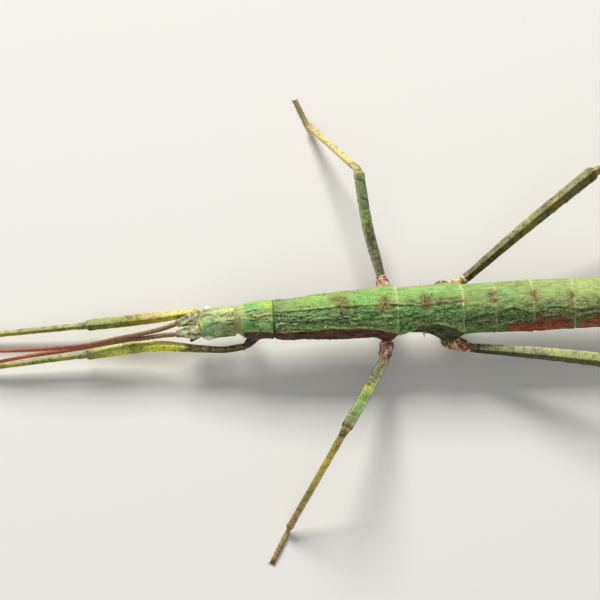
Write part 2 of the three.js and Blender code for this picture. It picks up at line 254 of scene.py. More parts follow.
def tube(points, radii, rows, around, flat=1.0, shape=None, crowd=0.6):
    """A limb with rounded ends. shape(share, turn, place) multiplies its radius, flat
    squeezes its height, and crowd draws its rows together at both ends."""
    bm, share, turn = roll(rows, around)
    share = share - crowd * np.sin(2 * np.pi * share) / (2 * np.pi)
    centre, along, length = follow(points, share)
    over, across = lift_frame(along)
    radius = smooth_read(np.linspace(0, 1, len(radii)), radii, share)
    from_end = np.minimum(share, 1 - share) * length
    cap = np.where(share < 0.5, radii[0], radii[-1])
    radius = radius * np.sqrt(1 - (1 - np.clip(from_end / cap, 0, 1)) ** 2)
    if shape:
        radius = radius * shape(share, turn, centre)
    a = np.radians(turn)[:, None]
    out = -np.sin(a) * across + np.cos(a) * over * flat
    return bm, centre + radius[:, None] * out, share, turn


_, _, trial_length = follow([(0, 0, 0), (3, 4, 0)], np.zeros(1))
print("a limb from (0, 0, 0) to (3, 4, 0) is", round(float(trial_length), 3), "mm long")

# %% Turning a bmesh into a finished piece


def finish_piece(name, bm, material, stands_for=()):
    """Scales to metres and hands the piece to the frame."""
    bmesh.ops.transform(bm, matrix=TO_METRES, verts=bm.verts)
    for face in bm.faces:
        face.smooth = True
    mesh = bpy.data.meshes.new(name)
    bm.to_mesh(mesh)
    bm.free()
    piece = bpy.data.objects.new(name, mesh)
    bpy.context.scene.collection.objects.link(piece)
    mesh.materials.append(material)
    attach(piece, "root")
    if stands_for:
        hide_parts(*stands_for)
    print(name, len(mesh.polygons), "faces")


print("pieces go from mm to metres at a scale of", MM)

# %% [markdown]
# ## Tools for making finishes
#
# Insect skin is waxy and never one colour. Painting it by hand would need an image, so each
# finish is a node tree: patterns on Object coordinates in millimetres, and marks that were
# stored on the corners where a pattern follows the surface. Broad colours and soft patches are
# worked out here too and stored on the corners, so that the trees stay small.

# %% Colours and patches on the corners


def linear(text):
    """#rrggbb as the linear colour that nodes use."""
    parts = [int(text[i : i + 2], 16) / 255 for i in (1, 3, 5)]
    return [c / 12.92 if c <= 0.04045 else ((c + 0.055) / 1.055) ** 2.4 for c in parts] + [1]


def read_colours(stops, at):
    """Colours along a table of (place, colour), as rows of red, green and blue."""
    places = [place for place, _ in stops]
    tints = np.array([linear(text)[:3] for _, text in stops])
    return np.stack([np.interp(at, places, tint) for tint in tints.T], 1)


def near_lines(x, turn, points, lines, radius, width=0.13, shift=0.0):
    """1 on lines drawn as lists of (X, turn) and fading out over the width on both sides."""
    x = x + 0.1 * grain(points, (1.6, 1.6, 1.6), 61.0)
    drift = 2.2 * grain(points, (1.3, 1.3, 1.3), 71.0) + 2.4 * grain(points, (3.0, 3.0, 3.0), 75.0)
    across = np.radians(turn + shift + drift) * radius
    nearest = np.full(len(x), 9.0)
    for line in lines:
        corners = [np.array([a, math.radians(b) * radius]) for a, b in line]
        for start, end in zip(corners, corners[1:]):
            way = end - start
            share = ((x - start[0]) * way[0] + (across - start[1]) * way[1]) / way.dot(way)
            share = np.clip(share, 0, 1)
            away = np.hypot(x - start[0] - share * way[0], across - start[1] - share * way[1])
            nearest = np.minimum(nearest, away)
    broken = np.clip(0.8 + 1.5 * grain(points, (1.0, 2.0, 2.0), 79.0), 0.1, 1)
    return hill(nearest, 0, width) * broken


PAINTS = {  # the few colours that the hide is blotched with
    "mint": "#86cc7a", "lime": "#b6e066", "leaf": "#56a652", "sage": "#aed488", "straw": "#ccd488",
    "cream": "#f2e79a", "tan": "#c2b27a", "bark": "#a08a4e", "ochre": "#92853e", "rust": "#976442",
    "moss": "#6f9448", "forest": "#3d4b25", "umber": "#5a4828", "soot": "#2c3020",
}


def paint(colours, x, turn, points, patches):
    """Lays soft patches on the colours; their edges wander with the grain of the skin."""
    drift = 0.3 * grain(points, (1.1, 1.1, 1.1), 21.0) + 0.12 * grain(points, (3, 3, 3), 25.0)
    slide = 8 * grain(points, (1.1, 1.1, 1.1), 31.0) + 4 * grain(points, (3, 3, 3), 35.0)
    for place, round_at, long, wide, name, strength in patches:
        away = ((x + drift - place) / long) ** 2 + ((turn + slide - round_at) / wide) ** 2
        cover = strength * np.exp(-(away**1.5))
        colours = colours + (np.array(linear(PAINTS[name])[:3]) - colours) * cover[:, None]
    return colours


print(len(PAINTS), "named paints")

# %% [markdown]
# Every finish starts from the same three nodes: the Principled shader, Object coordinates and
# a scale that turns them into millimetres. A small class then adds the others, and most of its
# methods give back a socket, so that a finish reads like a list of what was laid on.

# %% A short way to write a finish
WAX_ROUGHNESS = 0.3


class Finish:
    """One material's node tree."""

    def __init__(self, name):
        self.material = bpy.data.materials.new(name)
        self.material.use_nodes = True
        self.tree = self.material.node_tree
        self.skin = self.tree.nodes["Principled BSDF"]
        places = self.add("ShaderNodeTexCoord").outputs["Object"]
        self.mm = self.add("ShaderNodeVectorMath", operation="SCALE")
        self.tree.links.new(places, self.mm.inputs[0])
        self.mm.inputs["Scale"].default_value = 1 / MM

    def add(self, kind, **settings):
        """A new node of a kind, with its settings."""
        node = self.tree.nodes.new(kind)
        for key, value in settings.items():
            setattr(node, key, value)
        return node

    def feed(self, socket, value):
        """Links another socket, or sets a colour written as text, or a number."""
        if isinstance(value, bpy.types.NodeSocket):
            self.tree.links.new(value, socket)
        elif isinstance(value, str):
            socket.default_value = linear(value)
        else:
            socket.default_value = value

    def marked(self, name):
        """A number that was stored on the corners."""
        return self.add("ShaderNodeAttribute", attribute_name=name).outputs["Fac"]

    def painted(self, name):
        """A colour that was stored on the corners."""
        return self.add("ShaderNodeAttribute", attribute_name=name).outputs["Color"]

    def stretched(self, waves):
        """Coordinates with so many waves per mm along each axis."""
        mapping = self.add("ShaderNodeVectorMath", operation="MULTIPLY")
        self.feed(mapping.inputs[0], self.mm.outputs[0])
        mapping.inputs[1].default_value = waves
        return mapping.outputs[0]

    def mottle(self, waves, detail=3.0, bend=0.0):
        """Cloudy noise around 0.5."""
        node = self.add("ShaderNodeTexNoise")
        node.inputs["Distortion"].default_value = bend
        self.feed(node.inputs["Vector"], self.stretched(waves))
        node.inputs["Scale"].default_value = 1
        node.inputs["Detail"].default_value = detail
        node.inputs["Roughness"].default_value = 0.55
        return node.outputs["Fac"]

    def cells(self, waves):
        """A packed pattern, 0 in the middle of each cell."""
        node = self.add("ShaderNodeTexVoronoi")
        self.feed(node.inputs["Vector"], self.stretched(waves))
        node.inputs["Scale"].default_value = 1
        return node.outputs["Distance"]

    def ranged(self, value, low, high, to_low=0.0, to_high=1.0):
        """A soft step: to_low where the value is low, to_high where it is high."""
        node = self.add("ShaderNodeMapRange", interpolation_type="SMOOTHSTEP")
        for socket, number in zip(node.inputs, (value, low, high, to_low, to_high)):
            self.feed(socket, number)
        return node.outputs[0]

    def maths(self, operation, one, other):
        """Two numbers put through one operation."""
        node = self.add("ShaderNodeMath", operation=operation)
        self.feed(node.inputs[0], one)
        self.feed(node.inputs[1], other)
        return node.outputs[0]

    def times(self, one, other):
        """Two numbers multiplied."""
        return self.maths("MULTIPLY", one, other)

    def away(self, value, level):
        """How far a value is from a level."""
        return self.maths("ABSOLUTE", self.maths("SUBTRACT", value, level), 0.0)

    def where(self, name, pattern, *fade):
        """A stored number, broken up by a pattern that is ranged as fade says."""
        return self.times(self.marked(name), self.ranged(pattern, *fade))

    def blend(self, amount, one, other, kind="MIX"):
        """One colour where the amount is 0, and the other laid over it where it is 1."""
        node = self.add("ShaderNodeMix", data_type="RGBA", blend_type=kind)
        self.feed(node.inputs[0], amount)
        self.feed(node.inputs[6], one)
        self.feed(node.inputs[7], other)
        return node.outputs[2]

    def lay_on(self, colour, pattern, low, high, most, shade, kind="MIX"):
        """A shade laid over the colour where a pattern is high."""
        return self.blend(self.ranged(pattern, low, high, 0, most), colour, shade, kind)

    def bands(self, value, stops):
        """Colours along a value, from (place, colour) pairs between 0 and 1."""
        node = self.add("ShaderNodeValToRGB")
        steps = node.color_ramp.elements
        while len(steps) < len(stops):
            steps.new(0.5)
        for index, (place, colour) in enumerate(sorted(stops)):
            steps[index].position = place
            steps[index].color = linear(colour)
        self.feed(node.inputs[0], value)
        return node.outputs["Color"]

    def raise_skin(self, height, depth, strength=1.0):
        """Fine relief: height from 0 to 1, depth in mm."""
        node = self.add("ShaderNodeBump")
        self.feed(node.inputs["Height"], height)
        node.inputs["Distance"].default_value = depth * MM
        node.inputs["Strength"].default_value = strength
        if self.skin.inputs["Normal"].is_linked:
            self.feed(node.inputs["Normal"], self.skin.inputs["Normal"].links[0].from_socket)
        self.feed(self.skin.inputs["Normal"], node.outputs["Normal"])

    def coat(self, colour, roughness, specular=0.35, wax=0.0):
        """Sets the surface itself and gives back the finished material."""
        self.feed(self.skin.inputs["Base Color"], colour)
        self.feed(self.skin.inputs["Roughness"], roughness)
        self.skin.inputs["Specular IOR Level"].default_value = specular
        self.skin.inputs["Coat Weight"].default_value = wax
        self.skin.inputs["Coat Roughness"].default_value = WAX_ROUGHNESS
        return self.material


print(len([name for name in vars(Finish) if name[0] != "_"]), "ways to build up a finish")

# %% [markdown]
# ## The body rings
#
# Thirteen rings run from the neck to the tail: three of the thorax, then ten of the abdomen.
# Thirteen separate shells would leave open gaps, so one skin covers them all and dips into a
# narrow groove at each joint. The table gives, for each place X, the half width, the height
# above the axis, the depth below it and the sideways bend of the axis.

# %% Outline of the body
AXIS_HEIGHT = 6.5
BACK_RADIUS = 3.2  # turns degrees on the back into millimetres across it
OUTLINE = np.array([
    [-23.6, 1.5, 1.2, 1.3, 0.12], [-22.75, 1.78, 1.45, 1.5, 0.12],
    [-22.25, 2.08, 1.74, 1.85, 0.1], [-21.7, 2.34, 2.0, 2.15, 0],
    [-20.6, 2.55, 2.3, 2.2, 0], [-19.0, 2.68, 2.4, 2.25, 0],
    [-17.4, 2.82, 2.48, 2.4, -0.1], [-15.5, 2.94, 2.5, 2.55, -0.24],
    [-13.7, 3.0, 2.62, 2.6, -0.16], [-11.0, 3.28, 2.85, 2.7, -0.05],
    [-8.1, 3.46, 3.0, 2.75, 0], [-5.4, 3.48, 3.05, 2.75, 0.05], [-2.8, 3.55, 3.05, 2.8, 0.1],
    [-1.4, 3.72, 3.05, 2.8, 0.12], [0.0, 3.46, 3.0, 2.7, 0.18], [1.2, 3.34, 2.95, 2.6, 0.2],
    [3.2, 3.3, 2.95, 2.55, 0.22], [4.8, 3.5, 3.0, 2.65, 0.2], [6.2, 3.86, 3.0, 2.75, 0.15],
    [7.6, 3.74, 3.05, 2.8, 0.05], [9.1, 3.58, 3.05, 2.8, 0], [13.6, 3.62, 3.1, 2.85, 0],
    [18.9, 3.68, 3.1, 2.9, 0], [24.6, 3.62, 3.0, 2.9, 0], [30.6, 3.6, 3.0, 2.85, 0],
    [36.6, 3.5, 2.9, 2.75, 0], [42.3, 3.2, 2.65, 2.45, 0], [47.4, 2.75, 2.3, 2.0, 0],
    [51.5, 2.35, 1.95, 1.6, 0], [54.5, 2.1, 1.7, 1.25, 0], [56.6, 1.75, 1.35, 0.95, 0],
    [57.6, 1.25, 0.85, 0.6, 0],
])
FIRST_JOINT, THORAX_END = -17.4, 9.1
JOINTS = [FIRST_JOINT, 0.0, THORAX_END, 13.6, 18.9, 24.6, 30.6, 36.6, 42.3, 47.4, 51.5, 54.5]
RINGS = ["prothorax", "mesothorax", "metathorax", "median_segment"]
RINGS += [f"abdomen_{number}" for number in range(2, 11)]
print(len(RINGS), "rings,", len(JOINTS), "joints between them")

# %% [markdown]
# The back plates of the thorax end in a raised side edge that waves up and down, and the
# soft side wall is sunk beneath it. A line of low ridge runs along the middle of the back,
# and a shorter, wavy one on each side of the middle thorax. These lines are kept as tables of
# place and turn, so that the relief and the colours use the same ones.

# %% Lines that run along the body
SIDE_EDGE = np.array([
    [-23.6, 84], [-21.9, 64], [-20.4, 60], [-19.0, 61], [-17.7, 63], [-17.2, 62], [-16.6, 60],
    [-13.9, 58], [-12.5, 59], [-11.1, 57], [-9.8, 54], [-8.3, 54], [-6.9, 56], [-5.6, 56],
    [-4.2, 59], [-2.8, 64],
    [-1.4, 68], [-0.4, 80], [0.1, 96], [0.6, 96], [1.7, 80], [2.9, 67], [4.2, 60], [5.4, 55],
    [6.9, 59], [8.0, 70], [9.0, 82], [9.3, 94], [13.6, 99], [30.0, 103], [47.4, 100], [57.6, 95],
])
MIDDLE_RIDGE = np.array([
    [-23.6, 0], [-17.4, -3], [-15.0, -4], [-12.0, -1], [-8.0, 0], [-2.0, 1], [0.0, 4],
    [1.5, 7], [3.6, 11], [5.7, 4], [9.1, 1], [13.6, 0], [57.6, 0],
])
WAVY_RIDGE = np.array([
    [-17.2, 39], [-16.2, 32], [-15.3, 33], [-14.4, 36], [-13.6, 29], [-12.7, 25], [-11.6, 24],
    [-9.7, 27], [-8.0, 31], [-5.0, 30], [-1.0, 33],
])


def line_at(table, x):
    """The turn of a line at a place X."""
    return np.interp(x, table[:, 0], table[:, 1])


def wobble(x, seed, size):
    """The small wandering of a line along the body, in degrees."""
    stations, back = np.unique(x, return_inverse=True)
    slow = [noise.noise((place * 0.9, seed, 0)) for place in stations]
    quick = [0.6 * noise.noise((place * 2.6, seed, 5)) for place in stations]
    return size * (np.array(slow) + np.array(quick))[back]


def side_edge(x):
    """The turn of the raised side edge, on either side."""
    return line_at(SIDE_EDGE, x) + wobble(x, 2, 3.5)


def from_middle(x, turn):
    """How far a turn is from the ridge along the middle, in degrees."""
    return turn - line_at(MIDDLE_RIDGE, x) - wobble(x, 1, 3.0)


def thorax_share(x):
    """1 on the middle and hind thorax, 0 on the first plate and the abdomen."""
    return step(x, FIRST_JOINT - 0.2, FIRST_JOINT + 0.2) * (
        1 - step(x, THORAX_END - 0.2, THORAX_END + 0.2)
    )


print("the side edge is highest at a turn of", SIDE_EDGE[:, 1].min(), "degrees")

# %% [markdown]
# Relief is the height of every fine form on the plain outline: joint grooves, ridges, the
# sunk side walls, the swellings that carry the hind legs, wrinkles that run lengthwise and
# the pebbled skin low on the sides. Each is one short term, and they are simply added up.

# %% Folds and swellings of the body
FOLDS = [  # lines of (X, turn) where the skin is folded in
    [(-17.1, 39), (-16.1, 36), (-15.2, 29), (-13.9, 29), (-12.8, 26), (-12.0, 22)],
    [(-16.6, 55), (-15.4, 47), (-14.0, 53), (-12.3, 56)],
    [(-21.3, -6), (-19.9, -7), (-18.6, -8), (-17.7, -5)],
    [(-21.6, 19), (-20.7, 19), (-20.0, 13), (-18.6, 12), (-17.6, 9)],
    [(-20.7, 21), (-19.7, 27), (-18.3, 21)],
    [(-17.1, 9), (-16.0, 14), (-14.9, 12), (-13.6, 19), (-12.4, 16)],
    [(-11.6, 33), (-10.2, 27), (-9.0, 33), (-7.6, 28), (-6.1, 36)],
    [(-9.2, 11), (-8.0, 17), (-6.6, 15), (-5.2, 21), (-3.8, 17)],
    [(-6.7, 51), (-5.4, 44), (-4.0, 50), (-2.6, 43), (-1.1, 49)],
    [(0.6, 58), (1.4, 48), (2.2, 40), (3.2, 39), (4.5, 33), (5.5, 22)],
    [(0.0, 37), (1.1, 36), (2.1, 31), (2.9, 24)],
    [(5.0, 50), (6.1, 38), (7.2, 41), (8.4, 33)],
    [(9.1, 48), (10.4, 42), (11.8, 36), (13.3, 36), (14.8, 30), (15.7, 24), (17.1, 30),
     (18.7, 40), (19.9, 36), (21.0, 27), (22.6, 26), (23.9, 32), (25.6, 36), (27.1, 30)],
    [(12.1, 79), (14.1, 67), (16.4, 56), (18.4, 61), (20.2, 48), (22.2, 47)],
    [(11.1, 53), (12.4, 50), (13.5, 56)],
    [(27.1, 30), (29.0, 36), (31.2, 33), (33.4, 24), (35.6, 30), (37.2, 27), (40.0, 38),
     (43.0, 28), (46.5, 34)],
    [(24.5, 52), (27.0, 45), (29.6, 50), (33.0, 46), (36.0, 53), (40.5, 44), (44.0, 51)],
    [(30.8, 11), (33.0, 18), (35.4, 12), (38.0, 17), (41.0, 10)],
]
HIP_SWELLINGS = [  # X, turn, length, spread in degrees, height
    (7.0, 106, 1.9, 24, 0.95),
    (-1.5, 110, 1.3, 24, 0.6),
    (-20.2, 118, 1.2, 22, 0.35),
]
print(len(FOLDS), "folds and", len(HIP_SWELLINGS), "pairs of hip swellings")

# %% Wrinkles, pebbles and knobs


def creases(points):
    """A net of narrow furrows that run mostly lengthwise, 1 in the middle of each."""
    net = np.abs(grain(points, (0.42, 1.7, 1.7), 7.0)) / 0.1
    small = np.abs(grain(points, (0.9, 3.1, 3.1), 17.0)) / 0.12
    return np.maximum(np.clip(1 - net, 0, 1), 0.6 * np.clip(1 - small, 0, 1))


def unevenness(x, turn, edge, thorax, points):
    """Wrinkles, pebbled patches and rows of low knobs."""
    side, left = np.abs(turn), step(turn, -8, 10)
    above = 1 - step(side, edge - 3, edge + 2)
    rough = (0.35 + 0.65 * left) * (0.55 + 0.45 * thorax)
    # wrinkles of two sizes, the furrows between them, and the folds with their raised lips, which
    # the finish paints with highlight
    height = 0.16 * rough * above * grain(points, (0.55, 1.6, 1.6))
    height += 0.12 * rough * above * grain(points, (1.2, 1.9, 1.9), 51.0)
    height -= 0.08 * rough * above * creases(points)
    height -= 0.14 * near_lines(x, turn, points, FOLDS, BACK_RADIUS)
    height += 0.07 * near_lines(x, turn, points, FOLDS, BACK_RADIUS, 0.16, 4.0)
    height += 0.05 * rough * grain(points, (1.5, 3.6, 3.6), 11.0)
    height += 0.02 * grain(points, (4.0, 6.0, 6.0), 5.0)
    # pebbles below the side edge, drawn out along the body
    low = step(side, edge + 2, edge + 8) * (1 - step(side, 140, 150))
    stretched = points * np.array([0.55, 1, 1])
    height += 0.06 * low * (thorax + 0.4) * (pebbles(stretched, 0.42) - 0.3)
    # a row of low knobs in front of each joint
    joint = np.array(JOINTS)[np.searchsorted(JOINTS, x).clip(0, len(JOINTS) - 1)]
    knobs = hill(x, joint - 0.42, 0.2) * above * (0.5 + 0.5 * np.cos(np.radians(turn) * 26))
    return height + 0.05 * knobs * step(x, 0.5, 9)


trial_line = np.array([(0.1 * number, 0, AXIS_HEIGHT) for number in range(200)])
print("furrows cover", round(100 * float(creases(trial_line).mean())), "% of a trial line")

# %% Relief of the body


def relief(x, turn, points):
    """The height of every form on the plain outline, in mm."""
    side, edge, thorax = np.abs(turn), side_edge(x), thorax_share(x)
    back = 1 - step(side, 95, 110)
    neck = 1 - step(x, -22.1, -21.8)
    height = np.zeros_like(x)
    for joint in JOINTS:  # a groove, the rim in front of it and the hollow behind it
        deep, wide = (0.22, 0.1) if joint == FIRST_JOINT else (0.13, 0.08)
        height -= deep * hill(x, joint, wide)
        height += 0.06 * hill(x, joint - 0.32, 0.22) * back
        height -= 0.05 * hill(x, joint + 0.35, 0.3)
    # a cross furrow on the first plate, then the middle ridge and the groove on its left
    height -= 0.1 * hill(x, -19.7, 0.16) * (1 - step(side, 35, 60))
    middle = from_middle(x, turn)
    ridge = 0.03 + 0.09 * thorax * (0.6 + 0.4 * step(x, -16, -10)) + 0.02 * step(x, 9, 14)
    height += ridge * hill(middle, -1.2, 2.0) * (1 - neck)
    height -= 0.09 * thorax * hill(middle, 2.4, 1.6)
    height -= 0.13 * thorax * hill(side, 38, 15)
    # the wavy ridge of the middle thorax and the furrow outside it
    wavy = step(x, -17.3, -16.9) * (1 - step(x, -4, -1))
    height += 0.07 * wavy * hill(side, line_at(WAVY_RIDGE, x), 2.2)
    height -= 0.05 * wavy * hill(side, line_at(WAVY_RIDGE, x) + 5, 2.4)
    # the side edge, the sunk wall below it, the thread along the wall and the belly's border
    height += (0.04 + 0.1 * thorax) * hill(side, edge - 1.5, 2.6)
    sunk = step(side, edge, edge + 3.5) * (1 - step(side, edge + 22, edge + 48))
    height -= (0.07 + 0.17 * thorax) * sunk * (1 - neck)
    height += 0.07 * thorax * hill(side, 77, 2.0) * (1 - step(x, -2, 0))
    height -= 0.06 * hill(side, 131, 3.5) * (1 - neck)
    for place, round_at, length, spread, tall in HIP_SWELLINGS:
        height += tall * hill(x, place, length) * hill(side, round_at, spread)
    return height + unevenness(x, turn, edge, thorax, points)


def oval(x, turn, half, above, below, side, axis, shrink=1.0):
    """Places on a plain oval tube along X, and the way that each faces."""
    a = np.radians(turn)
    rise = np.where(np.cos(a) > 0, above, below)
    across, up = side - half * np.sin(a) * shrink, axis + rise * np.cos(a) * shrink
    facing = np.stack([0 * x, -np.sin(a) / half, np.cos(a) / rise], 1)
    facing /= np.linalg.norm(facing, axis=1)[:, None]
    return np.stack([x, across, up], 1), facing


def body_surface(x, turn):
    """Corner places on the finished skin, and the way that each faces."""
    half, above, below, bend = read_table(OUTLINE, x)
    plain, facing = oval(x, turn, half, above, below, bend, AXIS_HEIGHT)
    return plain + facing * relief(x, turn, plain)[:, None], facing


middle_of_back, _ = body_surface(np.array([-8.0]), np.zeros(1))
print("the back is", round(float(middle_of_back[0, 2]), 2), "mm above the floor at X = -8")

# %% [markdown]
# The skin itself is a rolled sheet. Its rows are set close together at the joints, where a
# groove is only a fifth of a millimetre wide, and further apart between them. The first rows
# are drawn to a point inside the head, and the last ones close the tail.

# %% Rows of the body skin
NECK_START, TAIL_END = -23.5, 57.62
ROW_SPACING, LEAST_SPACING = 0.2, 0.03
BESIDE_JOINT = (-0.28, -0.13, -0.06, 0, 0.06, 0.13, 0.28)
even = np.arange(NECK_START, TAIL_END, ROW_SPACING)
at_joints = [joint + beside for joint in JOINTS for beside in BESIDE_JOINT]
BODY_ROWS = np.unique(np.round(np.concatenate([even, at_joints, [TAIL_END]]), 3))
BODY_ROWS = BODY_ROWS[np.append(True, np.diff(BODY_ROWS) > LEAST_SPACING)]
BODY_ROWS = np.concatenate([[NECK_START], BODY_ROWS, [TAIL_END] * 3])
CLOSING = np.ones(len(BODY_ROWS))  # how far each row keeps from the axis
CLOSING[0], CLOSING[-3:] = 0, (0.75, 0.4, 0)
BODY_SIDES = 168
print(len(BODY_ROWS), "rows of", BODY_SIDES)

# %% [markdown]
# The borders between the colours of the back follow the same lines as the relief. They could
# be painted on an image, but then they would slide off the ridges as soon as a table changed.
# So each mark is a number from 0 to 1 on every corner, such as the pale hind rims, the dark
# side walls of the thorax, which are partly painted shade, or the red-brown patches low on
# the abdomen.

# %% Small round marks of the back
TUFTS = [  # X, turn, radius
    (-8.65, -23, 0.5), (-7.95, -25, 0.45), (-7.45, -14, 0.45), (-8.3, -3, 0.4), (-7.3, -1, 0.45),
    (-2.1, -12, 0.45), (-1.8, -1, 0.5), (-2.4, 7, 0.5), (3.4, -12, 0.5), (3.9, -4, 0.5),
    (3.6, 8, 0.45), (13.1, -14, 0.4), (13.2, 1, 0.4), (18.8, -8, 0.4), (18.9, 2, 0.35),
    (24.0, 0, 0.35),
]
DOTS = [  # X, turn, radius of the dark dots
    (-0.95, -26, 0.2), (-1.5, -28, 0.16), (4.65, -18, 0.22), (-6.2, -10, 0.2),
    (15.85, 22, 0.24), (-12.45, -10, 0.18), (-18.1, -36, 0.15), (-20.55, 5, 0.2),
    (-18.1, 30, 0.15), (-17.05, -22, 0.22), (-4.35, -20, 0.15), (5.45, 25, 0.15),
    (10.2, -30, 0.14), (-14.3, -27, 0.14), (20.8, 16, 0.18), (27.5, 20, 0.2), (33.0, -15, 0.18),
]
SMUDGES = [  # X, turn, radius of the brown smudges along the middle
    (-19.9, -6, 0.55), (-19.0, 2, 0.6), (-18.2, -9, 0.55), (-20.6, 9, 0.4), (-18.3, 10, 0.35),
    (-21.3, -38, 0.4), (-16.8, -8, 0.5), (-15.6, -4, 0.45), (1.6, 1, 0.6), (5.6, -5, 0.55),
    (7.6, -4, 0.6), (12.6, -6, 0.5), (18.2, -6, 0.45), (23.6, -3, 0.4),
]


def around_spots(x, turn, spots, radius_there, grow=1.0):
    """1 inside the listed round spots, fading to 0."""
    cover = np.zeros_like(x)
    for place, round_at, radius in spots:
        across = np.radians(turn - round_at) * radius_there
        cover = np.maximum(cover, np.exp(-(((x - place) ** 2 + across**2) / (radius * grow) ** 2)))
    return cover


print(len(TUFTS), "tufts,", len(DOTS), "dots and", len(SMUDGES), "smudges")

# %% Marks on every corner of the back
PATCH_TOP = np.array([  # X and the turn where the red-brown patches end at the top
    [13.6, 99], [14.6, 68], [16.7, 64], [18.0, 62], [19.5, 58], [20.8, 56], [22.9, 58],
    [24.8, 72], [25.7, 60], [27.5, 53], [29.4, 56], [30.8, 72], [32.0, 62], [34.0, 56],
    [36.6, 72], [39.0, 62], [42.3, 78], [45.0, 70], [57.6, 80],
])


def red_patches(x, turn, points, rim_x):
    """The red-brown patches: tall on the left, and only a low fringe on the right."""
    side = np.abs(turn)
    top = line_at(PATCH_TOP, x) + wobble(x, 3, 9.0) + 14 * grain(points, (0.8, 1.6, 1.6), 81.0)
    patch = step(side, top - 12, top + 8)
    fringe = step(side + 10 * grain(points, (0.7, 1.2, 1.2), 83.0), 74, 90)
    between_joints = 1 - sum(hill(rim_x, joint, 0.7) for joint in JOINTS[5:])
    patch = patch * np.where(turn < 0, fringe, 1) * between_joints
    return patch * step(x, 14.3, 15.6) * (1 - step(side, 92, 104))


def body_marks(x, turn, points):
    """Every mark of the back, by name."""
    side, edge, thorax, middle = np.abs(turn), side_edge(x), thorax_share(x), from_middle(x, turn)
    below_edge, hind_thorax = step(side, edge - 0.5, edge + 3.5), step(x, -0.4, 0.6)
    rim_x = x + 0.09 * grain(points, (0.6, 1.5, 1.5), 41.0)
    rims = sum(hill(rim_x, joint - 0.17, 0.14) for joint in JOINTS[1:])
    # painted shadow that the middle ridge casts on its left flank; the dark groove of the first
    # joint is added to it
    ridge_shadow_and_joint = thorax * hill(middle, 2.2, 1.9) * (1 - 0.6 * step(x, -1, 1))
    contrast = 0.4 + 0.6 * step(middle, -2, 6) * thorax
    wavy = hill(turn, line_at(WAVY_RIDGE, x) - 1, 2.6)
    return {
        "rims": rims * (1 - 0.6 * step(turn, 5, 35)) * (1 - step(side, 84, 100)),
        "pale_edge": hill(side, edge - 2.5, 2.8) * (0.35 + 0.65 * step(x, -11, -7)) * thorax,
        "ridge_shadow_and_joint": ridge_shadow_and_joint + hill(rim_x, FIRST_JOINT - 0.02, 0.12),
        # crease and fold carry painted shade in the furrows; lip carries painted highlight on the
        # folds' raised edges
        "crease_shade": creases(points) * (0.4 + 0.6 * step(turn, -8, 10)),
        "fold": near_lines(x, turn, points, FOLDS, BACK_RADIUS),
        "lip": near_lines(x, turn, points, FOLDS, BACK_RADIUS, 0.14, 4.0),
        "smudge": around_spots(x, turn, SMUDGES, BACK_RADIUS),
        # painted highlight along the right flank of the middle ridge
        "ridge": hill(middle, -1.6, 2.2),
        # the sunk walls under the side edge: their own dark colour, with painted shade where the
        # edge overhangs them
        "wall_with_shade": step(x, -21.8, -21.5) * below_edge * (1 - hind_thorax),
        "hind_wall_with_shade": hind_thorax * (1 - step(x, 9, 9.5)) * below_edge,
        "wall_line": hill(side, 79, 2.5) * step(x, -17.2, -16) * (1 - step(x, -4, -2)),
        "wavy": wavy * step(x, -17.2, -16.8) * (1 - step(x, -11.5, -9)),
        "contrast": contrast + 0.25 * (1 - thorax) * step(turn, 0, 30),
        "patch": red_patches(x, turn, points, rim_x),
        "under": step(side, 100, 124),
        "tuft": around_spots(x, turn, TUFTS, BACK_RADIUS, 1.5),
        "dot": around_spots(x, turn, DOTS, BACK_RADIUS),
        "stain": hind_thorax * (1 - step(x, 9.5, 10.4)) * hill(middle, -7, 6.5),
        "neck": 1 - step(x, -22.0, -21.75),
    }


trial = body_marks(np.array([-8.0]), np.array([2.0]), np.zeros((1, 3)))
print(len(trial), "marks; the dark line at X = -8:", round(float(trial["ridge_shadow_and_joint"][0]), 2))
